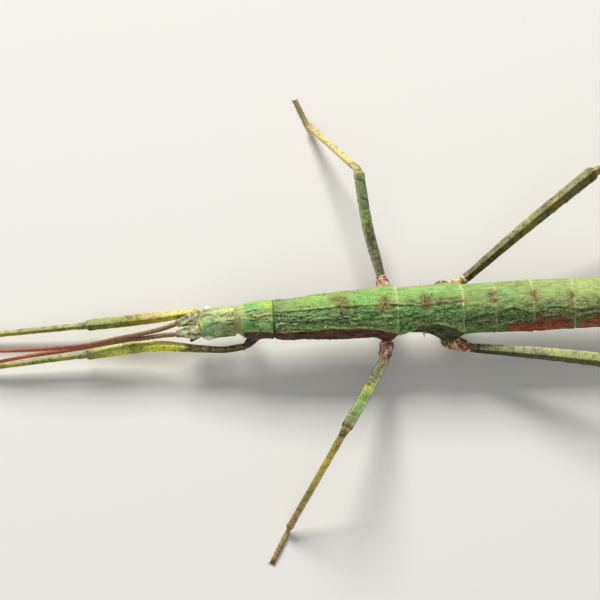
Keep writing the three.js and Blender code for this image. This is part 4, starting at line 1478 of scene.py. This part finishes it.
def make_eye(turn):
    """A ball squeezed to the eye's radii, turned to face out of the head."""
    bm = bmesh.new()
    bmesh.ops.create_icosphere(bm, subdivisions=4, radius=1)
    squeeze = Matrix.Diagonal(EYE_RADII).to_4x4()
    place = Matrix.Translation(eye_centre(turn)) @ Matrix.Rotation(math.radians(turn), 4, "X")
    bmesh.ops.transform(bm, matrix=place @ squeeze, verts=bm.verts)
    return bm


def finish_eye():
    f = Finish("eye_lenses")
    cloudy = f.mottle((2.2, 3.0, 3.0))
    colour = f.bands(cloudy, [(0.25, "#b5ab8c"), (0.4, "#ece7cd"), (0.6, "#fbf8e8")])
    lenses = f.cells((22, 22, 22))
    colour = f.lay_on(colour, lenses, 0.45, 0.7, 0.3, "#a89e80")
    f.raise_skin(f.maths("SUBTRACT", 1.0, lenses), 0.012, 0.5)
    return f.coat(colour, 0.3, specular=0.5, wax=0.4)


eye_finish = finish_eye()
for side, turn in EYE_TURNS.items():
    finish_piece(f"eye_skin_{side}", make_eye(turn), eye_finish, [f"eye_{side}"])

# %% [markdown]
# ## Mouth and palps
#
# Under the front of the head hang the upper lip and the chewing parts, and a short jointed
# palp reaches forward on each side. They are hardly seen from above, but a model is picked up
# and turned over. The lip block is a squeezed ball with a notch and two side grooves, and a
# palp is a limb whose radius dips at each of its joints.

# %% Shape of the mouth and palps
MOUTH_CENTRE, MOUTH_RADII = Vector((-28.25, 0, 4.45)), Vector((0.78, 0.88, 0.74))
PALP_JOINTS = [0.3, 0.52, 0.74]


def make_mouth():
    """The lip block, with a notch in its lower edge, two side grooves and a cross fold."""
    bm = bmesh.new()
    bmesh.ops.create_icosphere(bm, subdivisions=5, radius=1)
    for v in bm.verts:
        _, y, z = v.co
        notch = 0.16 * hill(y, 0, 0.12) * max(0, -z)
        grooves = 0.1 * hill(abs(y), 0.55, 0.09)
        fold = 0.1 * hill(z, 0.1, 0.08)
        rough = 1 - (notch + grooves) - fold + 0.03 * noise.noise(v.co * 5)
        v.co = MOUTH_CENTRE + MOUTH_RADII * v.co * rough
    return bm


def within_joints(share, joints):
    """How far along its own joint each place is, from 0 to 1."""
    ends = np.array([0, *joints, 1.0])
    low = np.clip(np.searchsorted(ends, share) - 1, 0, len(ends) - 2)
    return (share - ends[low]) / (ends[low + 1] - ends[low])


def palp_shape(share, turn, place):
    """A palp dips at each of its joints and swells between them."""
    dips = sum(hill(share, joint, 0.02) for joint in PALP_JOINTS)
    return 1 + 0.1 * within_joints(share, PALP_JOINTS) - 0.3 * dips


# %% Finish and make the mouth and palps


def finish_mouth():
    f = Finish("mouth_skin")
    patchy, fine = f.mottle((2.5, 2.5, 2.5)), f.mottle((9, 9, 9), 4)
    colour = f.bands(patchy, [(0.3, "#4c3721"), (0.5, "#7d5f38"), (0.7, "#a48c58")])
    colour = f.lay_on(colour, fine, 0.5, 0.7, 0.4, "#c2b07d")
    f.raise_skin(fine, 0.03, 0.6)
    return f.coat(colour, 0.5)


mouth_finish = finish_mouth()
finish_piece("mouth_skin", make_mouth(), mouth_finish, ["mouthparts"])
for name, sign in (("right", 1), ("left", -1)):
    path = [
        (-27.7, 0.7 * sign, 4.35), (-28.25, 1.15 * sign, 4.1), (-28.75, 1.45 * sign, 4.05),
        (-29.3, 1.75 * sign, 4.1),
    ]
    bm, points, _, _ = tube(path, [0.26, 0.27, 0.26, 0.2], 60, 20, shape=palp_shape)
    palp = settle(bm, points)
    finish_piece(f"palp_skin_{name}", palp, mouth_finish, [f"palp_{name}"])

# %% [markdown]
# ## Feelers
#
# Each feeler starts with a broad, flattened first piece, then a short second one, then a lash
# of many short rings. The rings are the radius pattern of one long tube: it steps out a
# little before every joint and dips at it, finer and finer towards the tip. A ring number is
# stored along the lash, so the dark joints fall exactly on the dips.

# %% Where the feelers run, and their rings
FEELERS = {  # the points of the first piece, then those of the lash
    "right": (
        [(-27.25, 1.3, 6.15), (-28.4, 1.0, 6.1), (-29.8, 0.66, 5.95), (-31.3, 0.2, 5.8)],
        [(-31.1, 0.24, 5.79), (-33.0, -0.27, 5.6), (-35.7, -0.81, 5.5), (-39.2, -1.27, 5.3),
         (-43.3, -1.91, 5.1), (-47.6, -2.05, 4.8), (-51.0, -2.0, 4.5), (-54.0, -1.85, 4.2),
         (-57.5, -1.6, 3.8)],
    ),
    "left": (
        [(-27.25, -1.3, 6.05), (-28.4, -1.26, 6.0), (-29.8, -1.22, 5.75), (-31.3, -1.21, 5.54)],
        [(-31.1, -1.21, 5.54), (-33.0, -1.18, 5.3), (-35.7, -1.29, 4.9), (-37.9, -1.3, 4.6),
         (-40.5, -1.49, 4.3), (-42.9, -1.72, 4.05), (-48.3, -2.1, 3.4), (-52.6, -2.4, 3.0),
         (-57.4, -2.9, 2.5)],
    ),
}
LASH_RINGS = 30


def scape_shape(share, turn, place):
    """The first piece: keels on both sides, lobes, a full inner edge and one dip."""
    beside = np.abs(turn)
    keel = 1 + 0.1 * hill(beside, 90, 18) - 0.06 * hill(turn, 0, 30)
    lobes = 1 + 0.13 * grain(place, (1.6, 2.4, 2.4)) * hill(beside, 90, 50)
    lobes = lobes + 0.06 * grain(place, (4, 4, 4))
    inner = hill(turn + 90 * np.sign(place[:, 1]), 0, 45)
    inner = inner * step(share, 0.15, 0.45) * (1 - step(share, 0.85, 1))
    return keel * lobes * (1 + 0.34 * inner) * (1 - 0.12 * hill(share, 0.84, 0.02))


def lash_shape(share, turn, place):
    """Rings that widen a little and dip at each joint."""
    ring = (share * LASH_RINGS) % 1
    return 0.97 + 0.08 * ring**2 - 0.13 * (1 - step(ring, 0, 0.1)) * step(share, 0.01, 0.03)


print(LASH_RINGS, "rings on each lash")

# %% Finish and make the feelers
SCAPE_TINTS = [
    (0.36, "#4e4528"), (0.44, "#97966a"), (0.51, "#aaa678"), (0.58, "#c6cea4"),
    (0.66, "#e3dcb8"),
]
LASH_TINTS = [
    (0, "#8c7c56"), (0.1, "#937650"), (0.3, "#8e6242"), (0.55, "#a05639"), (1, "#c66c48"),
]


def finish_scape():
    f = Finish("scape_skin")
    patchy, fine = f.mottle((1.3, 1.9, 1.9), bend=0.2), f.mottle((6, 8, 8), 4)
    colour = f.bands(patchy, SCAPE_TINTS)
    colour = f.lay_on(colour, f.marked("share"), 0.7, 0.9, 0.6, "#86704a")
    colour = f.lay_on(colour, fine, 0.52, 0.7, 0.4, "#6c5c40")
    f.raise_skin(patchy, 0.12, 0.8)
    f.raise_skin(fine, 0.03, 0.6)
    return f.coat(colour, 0.55)


def finish_lash():
    f = Finish("lash_skin")
    fine = f.mottle((1.6, 7, 7), 4)
    colour = f.bands(f.marked("share"), LASH_TINTS)
    colour = f.lay_on(colour, f.marked("ring"), 0.8, 1.0, 0.4, "#3f2a1c")
    colour = f.blend(f.ranged(f.marked("ring"), 0.0, 0.25, 0.2, 0), colour, "#a98c6c")
    colour = f.lay_on(colour, fine, 0.54, 0.7, 0.4, "#c9a384")
    colour = f.lay_on(colour, fine, 0.46, 0.34, 0.6, "#5f3f30")
    f.raise_skin(fine, 0.015, 0.5)
    return f.coat(colour, 0.55)


scape_finish, lash_finish = finish_scape(), finish_lash()
for side, (scape, lash) in FEELERS.items():
    widths = [0.66, 0.88, 0.86, 0.64, 0.5, 0.38]
    bm, points, share, _ = tube(scape, widths, 100, 44, 0.6, scape_shape)
    mark(bm, share=share)
    base = settle(bm, points)
    finish_piece(f"scape_skin_{side}", base, scape_finish, [f"scape_{side}"])
    bm, points, share, _ = tube(lash, [0.34, 0.32, 0.3, 0.28, 0.25], 360, 18, 1, lash_shape, 0)
    mark(bm, share=share, ring=(share * LASH_RINGS) % 1)
    whip = settle(bm, points)
    finish_piece(f"lash_skin_{side}", whip, lash_finish, [f"flagellum_{side}"])

# %% [markdown]
# ## Legs
#
# Each leg has the same five parts: a short rusty hip joint, a keeled thigh, a thin shin, a
# foot of five joints and a pair of claws. The six legs differ only in where they stand, so
# one table holds their points and every part is made by one function in a loop.

# %% Where the legs stand
FORE = dict(hip=0.72, thigh=[0.42, 0.45, 0.66, 0.72, 0.7], shin=[0.42, 0.4, 0.45], foot=0.36)
MIDDLE = dict(hip=1.08, thigh=[0.68, 0.8, 0.84, 0.82, 0.8], shin=[0.52, 0.5, 0.48], foot=0.4)
HIND = dict(hip=1.05, thigh=[0.58, 0.7, 0.8, 0.87, 0.92], shin=[0.52, 0.5, 0.48], foot=0.4)
LEGS = {  # corner is the turn of the upper keel; the rest are points from the body to the toe
    "fore_right": dict(
        size=FORE, corner=28, root=(-19.6, 1.5, 4.9), hip=(-21.7, 2.75, 4.0),
        bend=[(-24.3, 2.55, 3.8), (-28.0, 2.5, 4.25), (-33.4, 2.2, 3.9)],
        knee=(-44.2, 2.17, 2.3), ankle=(-66.2, 1.7, 0.75), toe=(-72.2, 1.6, 0.3),
    ),
    "fore_left": dict(
        size=FORE, corner=28, root=(-19.6, -1.5, 4.9), hip=(-21.7, -2.95, 4.0),
        bend=[(-24.3, -3.3, 4.1), (-28.0, -3.1, 4.4), (-33.4, -2.2, 3.9)],
        knee=(-44.25, -2.25, 2.3), ankle=(-66.1, -3.55, 0.75), toe=(-72.1, -4.1, 0.3),
    ),
    "middle_right": dict(
        size=MIDDLE, corner=35, root=(-1.5, 3.3, 4.9), hip=(-1.8, 6.2, 4.7),
        bend=[(-3.3, 12.6, 7.2)],
        knee=(-4.25, 20.9, 9.8), ankle=(-10.6, 33.2, 0.85), toe=(-12.3, 37.8, 0.3),
    ),
    "middle_left": dict(
        size=MIDDLE, corner=35, root=(-1.6, -3.3, 4.85), hip=(-2.3, -6.2, 4.6),
        bend=[(-4.9, -11.6, 8.0)],
        knee=(-8.63, -18.5, 11.5), ankle=(-16.9, -28.8, 0.85), toe=(-19.3, -33.1, 0.3),
    ),
    "hind_right": dict(
        size=HIND, corner=8, root=(6.0, 3.4, 4.7), hip=(9.9, 5.2, 4.8),
        bend=[(19.2, 11.5, 8.4)],
        knee=(29.27, 18.14, 11.5), ankle=(47.3, 24.2, 0.85), toe=(52.4, 26.3, 0.3),
    ),
    "hind_left": dict(
        size=HIND, corner=34, root=(5.8, -3.5, 4.6), hip=(10.0, -5.15, 4.6),
        bend=[(20.4, -7.6, 6.9)],
        knee=(32.8, -10.9, 9.5), ankle=(51.6, -18.2, 0.85), toe=(56.6, -20.6, 0.3),
    ),
}


def towards(point, target, distance):
    """The place at a distance from a point, towards a target or, below 0, away from it."""
    point, target = Vector(point), Vector(target)
    return point + (target - point).normalized() * distance


def for_leg(table, name):
    """What a table holds for one leg, or else for its pair."""
    return table.get(name) or table[name.split("_")[0]]


print(len(LEGS), "legs")

# %% [markdown]
# The hip joint is a knobbly cone that grows out of the body wall. The pebble pattern that
# roughens the body wall roughens it too, only deeper, and a narrow ring closes it where the
# thigh begins.

# %% Hip joints


def hip_shape(share, turn, place):
    """Pebbled, with two narrow collars near the thigh."""
    grainy = 0.9 + 0.17 * pebbles(place, 0.5) + 0.09 * grain(place, (1.6, 1.6, 1.6))
    collar = 1 - 0.16 * hill(share, 0.74, 0.035) - 0.1 * hill(share, 0.9, 0.03)
    return np.where(share < 0.75, grainy, 0.5 + 0.5 * grainy) * collar


def finish_hip(name, light, main, dark):
    """Three tones in blots, dark between the pebbles, with a breath of olive."""
    f = Finish(name)
    lumps, fine = f.cells((2.2, 2.2, 2.2)), f.mottle((6, 6, 6), 4)
    blots = f.mottle((1.4, 1.4, 1.4), bend=0.6)
    colour = f.bands(blots, [(0.38, dark), (0.5, main), (0.62, light)])
    colour = f.lay_on(colour, lumps, 0.35, 0.8, 0.5, dark)
    colour = f.lay_on(colour, fine, 0.5, 0.7, 0.4, light)
    colour = f.lay_on(colour, f.mottle((0.9, 0.9, 0.9)), 0.52, 0.7, 0.5, "#6c6a38")
    f.raise_skin(f.maths("SUBTRACT", 1.0, lumps), 0.06, 0.8)
    f.raise_skin(fine, 0.03, 0.5)
    return f.coat(colour, 0.55)


HIP_FINISHES = {
    "fore": finish_hip("fore_hip_skin", "#8d7048", "#56402a", "#2f1f15"),
    "middle": finish_hip("middle_hip_skin", "#ffe2c3", "#d4906b", "#5f2a1e"),
    "hind": finish_hip("hind_hip_skin", "#f0c4a0", "#a8623a", "#3f1a10"),
    "hind_right": finish_hip("tan_hip_skin", "#fff0c0", "#f0cf90", "#a07440"),
    "middle_right": finish_hip("pale_hip_skin", "#fff0d8", "#e6b08a", "#86543c"),
}
for name, leg in LEGS.items():
    size, start_of_thigh = leg["size"]["hip"], leg["size"]["thigh"][0]
    middle = Vector(leg["root"]).lerp(Vector(leg["hip"]), 0.55)
    end = towards(leg["hip"], leg["bend"][0], 0.75)
    radii = [size * 0.95, size * 1.02, size * 0.82, start_of_thigh * 0.9]
    bm, points, _, _ = tube([leg["root"], middle, leg["hip"], end], radii, 72, 64, 1, hip_shape)
    hip = settle(bm, points)
    finish_piece(
        f"hip_skin_{name}", hip, for_leg(HIP_FINISHES, name), [f"coxa_{name}"],
    )

# %% [markdown]
# Thighs are not round. Four keels run along each, with flat or slightly hollow faces between
# them, and the far end swells into a knee with a lobe on each side. Low teeth stand on one
# keel. All of it is one radius pattern over share and turn.

# %% Sections of thigh and shin


def square(turn, corner):
    """How far a rounded square reaches, with one of its corners at the turn given."""
    a = np.radians(turn - corner + 45)
    return 0.93 * (np.abs(np.cos(a)) ** 3.6 + np.abs(np.sin(a)) ** 3.6) ** (-1 / 3.6)


def keel_mark(turn, corner, width):
    """1 on each of the four keels."""
    return sum(hill((turn - corner + 180 + 90 * k) % 360, 180, width) for k in range(4))


def teeth(share, turn, corner, number, spread, sharp):
    """Low teeth on one keel, a quarter turn from the upper one."""
    lower = hill((turn - corner - 90 + 180) % 360, 180, spread)
    return lower * np.clip(np.sin(share * 2 * np.pi * number), 0, 1) ** sharp


def thigh_shape(corner):
    """The radius pattern of a thigh whose upper keel stands at one turn."""

    def shape(share, turn, place):
        saw = 0.08 * teeth(share, turn, corner, 11, 7, 6) * step(share, 0.3, 0.6)
        knee = 0.05 * hill(share, 0.955, 0.025) * hill(np.abs(turn), 95, 50)
        knee = knee - 0.03 * hill(share, 0.92, 0.015)
        uneven = 0.05 * grain(place, (0.8, 0.8, 0.8)) + 0.03 * grain(place, (2.2, 2.2, 2.2), 4)
        return square(turn, corner) + 0.05 * keel_mark(turn, corner, 7) + saw + knee + uneven

    return shape


def shin_shape(corner):
    """The same for a shin, which is thinner and widens at both ends."""

    def shape(share, turn, place):
        saw = 0.2 * teeth(share, turn, corner, 9, 8, 8) * step(share, 0.35, 0.6)
        ends = 0.16 * step(share, 0.93, 0.985) + 0.16 * hill(share, 0.04, 0.03)
        ends = ends - 0.06 * hill(share, 0.09, 0.02)
        uneven = 0.05 * grain(place, (0.8, 0.8, 0.8)) + 0.03 * grain(place, (2.4, 2.4, 2.4), 4)
        return square(turn, corner) + saw + ends + uneven

    return shape


section = square(np.arange(360.0), 0)
print("keels stand", round(section.max() / section.min(), 2), "times as far out as faces")

# %% Marks and finish of a limb


def dark_side(turn, corner):
    """1 on the face below a keel. Below the upper left keel this is the face painted with shade;
    a quarter turn back it is the upper face, painted with light.
    """
    return step(turn, corner - 3, corner + 3) * (1 - step(turn, corner + 84, corner + 92))


def keel_highlights(turn, corner):
    """A painted highlight on the keel along the far upper edge, and more weakly on the one
    nearest the top.
    """
    return hill(turn, corner - 88, 14) + 0.4 * hill(turn, corner, 6)


def mark_limb(bm, share, turn, corner):
    """Stores the share of the length, a painted highlight on the keels, painted shade on the
    lower face and painted light on the upper one.
    """
    mark(
        bm, share=share, keel=keel_highlights(turn, corner),
        shade=dark_side(turn, corner), top=dark_side(turn, corner - 88),
    )


def finish_limb(name, stops, face_shade_amount, face_shade_colour):
    """Bands along a limb, broken by mottling, with painted highlight on the upper keels and the
    upper face, and painted shade on the face below.
    """
    f = Finish(name)
    patchy, blots = f.mottle((1.1, 1.1, 1.1), 4, bend=0.6), f.mottle((2.4, 2.4, 2.4), bend=0.6)
    fine = f.mottle((7, 7, 7), 4)
    shaken = f.maths("ADD", f.marked("share"), f.ranged(patchy, 0.3, 0.7, -0.035, 0.035))
    colour = f.bands(shaken, stops)
    colour = f.lay_on(colour, patchy, 0.5, 0.36, 0.6, "#7d8460", "MULTIPLY")
    colour = f.lay_on(colour, blots, 0.46, 0.34, 0.7, "#77744c", "MULTIPLY")
    colour = f.lay_on(colour, blots, 0.57, 0.7, 0.4, "#d3d698")
    # painted light on the upper face, painted shade on the lower one, painted highlight on the
    # upper keels
    colour = f.blend(f.where("top", patchy, 0.4, 0.6, 0.05, 0.3), colour, "#c3cba4")
    face = f.times(f.where("shade", patchy, 0.3, 0.6, 1, 0.8), face_shade_amount)
    colour = f.blend(face, colour, face_shade_colour, "MULTIPLY")
    colour = f.blend(f.where("keel", blots, 0.35, 0.6, 0.15, 0.75), colour, "#d9dba6")
    colour = f.lay_on(colour, fine, 0.56, 0.75, 0.3, "#d3d49a")
    f.raise_skin(f.cells((4, 4, 4)), 0.035, 0.6)
    f.raise_skin(blots, 0.06, 0.7)
    f.raise_skin(fine, 0.02, 0.5)
    return f.coat(colour, f.ranged(fine, 0.3, 0.7, 0.45, 0.62))


print("two limb finishes for each of", len(LEGS), "legs")

# %% Bands along thighs and shins
THIGH_BANDS = {  # share of the length and colour, from the hip to the knee
    "fore_right": [
        (0, "#7e6f31"), (0.2, "#c4ba3c"), (0.33, "#f1ec45"), (0.46, "#f7f175"), (0.58, "#d8c43b"),
        (0.72, "#a0902b"), (0.82, "#a6b445"), (0.93, "#8da245"), (1, "#8e8d48"),
    ],
    "fore_left": [
        (0, "#59482a"), (0.3, "#765f36"), (0.38, "#c3bf38"), (0.45, "#ffff45"), (0.58, "#ffff5a"),
        (0.68, "#acb932"), (0.79, "#ffff7a"), (0.9, "#bece5e"), (0.97, "#a19456"),
    ],
    "middle_right": [
        (0, "#6f6944"), (0.25, "#655f3a"), (0.45, "#545429"), (0.53, "#919c38"), (0.6, "#77913c"),
        (0.68, "#50632a"), (0.85, "#597333"), (0.96, "#68733d"), (1, "#9e9154"),
    ],
    "middle_left": [
        (0, "#4e4c2e"), (0.3, "#605d38"), (0.42, "#77753a"), (0.49, "#d6d03c"), (0.56, "#8d9a38"),
        (0.67, "#82b044"), (0.78, "#74964a"), (0.88, "#738549"), (0.95, "#826a36"), (1, "#5f4822"),
    ],
    "hind_right": [
        (0, "#4f4820"), (0.12, "#62572d"), (0.3, "#757131"), (0.42, "#858241"), (0.5, "#9e9a39"),
        (0.6, "#827d4e"), (0.72, "#9d8436"), (0.8, "#85824e"), (0.92, "#847b34"), (1, "#80732e"),
    ],
    "hind_left": [
        (0, "#474b20"), (0.1, "#636e34"), (0.25, "#828e45"), (0.38, "#979266"), (0.44, "#9e9c54"),
        (0.52, "#aeb34b"), (0.6, "#929156"), (0.7, "#9ea84b"), (0.85, "#8f9849"), (1, "#797937"),
    ],
}
SHIN_BANDS = {  # the same from the knee to the ankle
    "fore": [
        (0, "#8d9360"), (0.15, "#bbbf6d"), (0.35, "#a5aa5a"), (0.5, "#ccc169"), (0.65, "#a8aa59"),
        (0.8, "#c3aa64"), (1, "#a58752"),
    ],
    "middle_right": [
        (0, "#caaa5d"), (0.2, "#f8e489"), (0.6, "#ffee97"), (0.9, "#ebc775"), (1, "#c19150"),
    ],
    "middle_left": [
        (0, "#846425"), (0.1, "#a48126"), (0.2, "#d0b32a"), (0.35, "#f5d635"), (0.5, "#dbbf2f"),
        (0.6, "#a99d33"), (0.8, "#b59136"), (1, "#ab7a26"),
    ],
    "hind": [(0, "#a99947"), (0.2, "#d6c65d"), (0.5, "#b6b45e"), (0.75, "#cdb462"), (1, "#b38c4c")],
}
# painted shade on the face below the upper keel: how strong, and towards what colour
LOWER_FACE_SHADE = {  # how strongly the face below the upper keel is darkened, and towards what
    "fore_right": (0.65, "#b8aa40"), "fore_left": (0.45, "#c4bc48"), "middle": (0.3, "#6a6834"),
    "hind_left": (1.0, "#565a2c"), "hind_right": (0.45, "#8c883a"),
}

print(sum(len(stops) for stops in THIGH_BANDS.values()), "stops on", len(THIGH_BANDS), "thighs")

# %% Make the thighs and shins


def make_limb(name, part, node, path, widths, rows, around, section, stops):
    """Rolls, marks and finishes one thigh or shin."""
    corner = LEGS[name]["corner"]
    sense = -1 if name.startswith("fore") else 1  # the fore legs run the other way along X
    bm, points, share, turn = tube(path, widths, rows, around, 1, section(corner * sense))
    mark_limb(bm, share, turn * sense, corner)
    finish = finish_limb(f"{part}_{name}", stops, *for_leg(LOWER_FACE_SHADE, name))
    skin = settle(bm, points)
    finish_piece(f"{part}_skin_{name}", skin, finish, [f"{node}_{name}"])


for name, leg in LEGS.items():
    thigh, shin = leg["size"]["thigh"], leg["size"]["shin"]
    path = [towards(leg["hip"], leg["bend"][0], -0.1), *leg["bend"], leg["knee"]]
    make_limb(name, "thigh", "femur", path, thigh, 220, 56, thigh_shape, THIGH_BANDS[name])
    knee, ankle, stops = leg["knee"], Vector(leg["ankle"]), for_leg(SHIN_BANDS, name)
    inside = towards(knee, leg["bend"][-1], thigh[-1] * 0.75)
    outside, beyond = (towards(knee, ankle, thigh[-1] * far) for far in (0.7, 1.6))
    path = [inside, outside, beyond, beyond.lerp(ankle, 0.5), ankle]
    widths = [shin[0] * 1.05, *shin]
    make_limb(name, "shin", "tibia", path, widths, 200, 40, shin_shape, stops)

# %% [markdown]
# ## Feet
#
# A stick insect's foot has five joints. The first is the longest, each is narrow at its start
# and widens to a notched end with a soft pad under it, and the last carries two hooked claws
# with a sticky pad between them. The pads lie flat on the floor: their lowest corners are
# brought to floor height, as they are in the solids.

# %% Shape of foot and claw
FOOT_JOINTS = [0.42, 0.58, 0.7, 0.8]


def foot_shape(share, turn, place):
    """Each joint is narrow at its start, and wide at its end with a pad below."""
    within = within_joints(share, FOOT_JOINTS)
    pad = 0.18 * hill(np.abs(turn), 180, 70) * step(within, 0.45, 0.85)
    return 0.8 + 0.24 * within**1.5 + pad - 0.15 * hill(within, 0.0, 0.06) * step(share, 0.1, 0.2)


def add_claw(bm, root, forward, aside, size):
    """A hooked claw: a horn whose stations follow a downward arc, thinner and thinner."""
    stations = []
    for far in np.linspace(0, 1, 9):
        arc = 1.5 * far
        centre = root + forward * math.sin(arc) * size + aside * 0.5 * far * size
        centre.z -= (1 - math.cos(arc)) * size * 0.4
        way = forward * math.cos(arc) + aside * 0.3 - Vector((0, 0, 0.4 * math.sin(arc)))
        turned = way.to_track_quat("Z", "Y").to_matrix().to_4x4()
        thin = Matrix.Scale(size * 0.18 * (1.03 - far), 4)
        stations.append(Matrix.Translation(centre) @ turned @ thin)
    grow(bm, stations)


# %% Finish of feet and claws
FOOT_TINTS = [
    (0, "#9a8a55"), (0.35, "#a59a60"), (0.6, "#8f7a4c"), (0.8, "#a3895a"), (1, "#8a6a42"),
]


def finish_claw():
    f = Finish("claw_horn")
    colour = f.bands(f.mottle((5, 5, 5)), [(0.35, "#3a2416"), (0.6, "#7a4f2c"), (0.8, "#a9773f")])
    return f.coat(colour, 0.3, specular=0.5)


def finish_foot():
    f = Finish("foot_skin")
    patchy, fine = f.mottle((2, 2, 2)), f.mottle((8, 8, 8), 4)
    colour = f.bands(f.marked("share"), FOOT_TINTS)
    colour = f.lay_on(colour, patchy, 0.5, 0.7, 0.4, "#6d5c38")
    colour = f.lay_on(colour, fine, 0.5, 0.7, 0.4, "#cfc48e")
    f.raise_skin(fine, 0.02, 0.6)
    return f.coat(colour, 0.55)


foot_finish, claw_finish = finish_foot(), finish_claw()
print("made", foot_finish.name, "and", claw_finish.name)

# %% Make the feet and claws
CLAW_SIZE, CLAW_SPREAD = 0.72, 0.12
PAD_RADII = (0.3, 0.2, 0.15, 1)


def add_sticky_pad(bm, toe, forward):
    """The small soft ball between the claws."""
    turned = forward.to_track_quat("X", "Z").to_matrix().to_4x4()
    place = Matrix.Translation(toe + forward * 0.05 - Vector((0, 0, 0.08)))
    matrix = place @ turned @ Matrix.Diagonal(PAD_RADII)
    bmesh.ops.create_icosphere(bm, subdivisions=3, radius=1, matrix=matrix)


for name, leg in LEGS.items():
    radius, shin_end = leg["size"]["foot"], leg["size"]["shin"][-1]
    ankle, toe = Vector(leg["ankle"]), Vector(leg["toe"])
    forward = Vector((toe.x - ankle.x, toe.y - ankle.y, 0)).normalized()
    lift = 0.6 * radius
    start = towards(ankle, leg["knee"], 0.35)
    heel = ankle + forward * (shin_end * 0.9)
    heel.z = lift + 0.12
    toe.z = lift
    path = [start, heel, heel.lerp(toe, 0.35), heel.lerp(toe, 0.7), toe]
    radii = [radius * k for k in (0.9, 1, 0.94, 0.94, 1)]
    bm, points, share, _ = tube(path, radii, 130, 32, 1, foot_shape, 0.3)
    points[:, 2] = np.maximum(points[:, 2], 0)
    mark(bm, share=share)
    foot = settle(bm, points)
    finish_piece(f"foot_skin_{name}", foot, foot_finish, [f"tarsus_{name}"])
    claws = bmesh.new()
    aside = Vector((-forward.y, forward.x, 0))
    for sign in (-1, 1):
        root = toe - forward * 0.25 + aside * sign * CLAW_SPREAD
        add_claw(claws, root, forward, aside * sign, CLAW_SIZE)
    add_sticky_pad(claws, toe, forward)
    for v in claws.verts:
        v.co.z = max(v.co.z, 0)
    bmesh.ops.recalc_face_normals(claws, faces=claws.faces)
    finish_piece(f"claws_{name}", claws, claw_finish)

# %% [markdown]
# ## The tail
#
# Under the last three rings lies a boat-shaped plate with a keel, which covers the egg-layer,
# and beside the last ring stand two short, blunt tail feelers. The plate is rolled from a
# table like the body, with a keel below, and the tail feelers are short limbs.

# %% Make the tail plate and tail feelers
PLATE = np.array([  # X, half width, height above the axis, depth below it, height of the axis
    [48.2, 1.0, 0.75, 0.8, 5.1], [49.2, 1.75, 1.1, 1.15, 5.15], [51.5, 1.8, 1.1, 1.1, 5.25],
    [54.0, 1.5, 0.95, 0.9, 5.45], [56.4, 1.0, 0.7, 0.6, 5.6], [57.8, 0.45, 0.4, 0.35, 5.7],
])


def make_tail_plate():
    """A keeled boat that closes at both ends."""
    front, back = PLATE[0, 0], PLATE[-1, 0]
    rows = np.concatenate([[front] * 3, np.linspace(front + 0.05, back - 0.05, 110), [back] * 3])
    close = np.ones(len(rows))
    close[:3], close[-3:] = (0, 0.5, 0.85), (0.85, 0.5, 0)
    bm, share, turn = roll(len(rows) - 1, 72)
    row = np.rint(share * (len(rows) - 1)).astype(int)
    x, a = rows[row], np.radians(turn)
    half, above, below, axis = read_table(PLATE, x)
    keel = 1 + 0.1 * hill(np.abs(turn), 180, 9) - 0.05 * hill(np.abs(turn), 150, 14)
    plain = np.stack([x, -half * np.sin(a), np.where(np.cos(a) > 0, above, below) * np.cos(a)], 1)
    rough = 1 + 0.04 * grain(plain, (0.7, 2.2, 2.2)) + 0.02 * grain(plain, (3, 5, 5))
    plain[:, 1:] *= (keel * rough * close[row])[:, None]
    plain[:, 2] += axis
    return settle(bm, plain)


def finish_tail():
    f = Finish("tail_skin")
    broad, fine = f.mottle((0.5, 1, 1)), f.mottle((6, 8, 8), 4)
    colour = f.bands(broad, [(0.3, "#6e6a3e"), (0.5, "#8f8c52"), (0.7, "#a7a768")])
    colour = f.lay_on(colour, f.mottle((0.9, 3, 3)), 0.5, 0.3, 0.5, "#57502e")
    colour = f.lay_on(colour, fine, 0.5, 0.7, 0.4, "#c9c58d")
    f.raise_skin(f.cells((3.5, 4.5, 4.5)), 0.04, 0.7)
    f.raise_skin(fine, 0.02, 0.5)
    return f.coat(colour, 0.58)


tail_finish = finish_tail()
finish_piece("tail_plate", make_tail_plate(), tail_finish, ["operculum"])
for name, sign in (("right", 1), ("left", -1)):
    path = [(56.7, 0.7 * sign, 6.5), (58.2, 0.95 * sign, 6.55), (59.2, 1.0 * sign, 6.7)]
    bm, points, _, _ = tube(path, [0.36, 0.36, 0.2], 40, 24)
    feeler = settle(bm, points)
    finish_piece(f"tail_feeler_{name}", feeler, tail_finish, [f"cercus_{name}"])

# %% [markdown]
# ## The floor
#
# The insect stands on a sheet of pale matt paper. A wide flat grid is enough: it is not part
# of the insect, only its stage.

# %% The floor
FLOOR_HALF = 1.5
floor_bm = bmesh.new()
bmesh.ops.create_grid(floor_bm, x_segments=2, y_segments=2, size=FLOOR_HALF)
floor_mesh = bpy.data.meshes.new("floor")
floor_bm.to_mesh(floor_mesh)
floor_bm.free()
floor = bpy.data.objects.new("floor", floor_mesh)
bpy.context.scene.collection.objects.link(floor)
floor_finish = Finish("floor_paper")
floor_finish.coat("#f1efea", 0.9, specular=0.1)
floor_mesh.materials.append(floor_finish.material)
print("the floor is", 2 * FLOOR_HALF, "m wide")
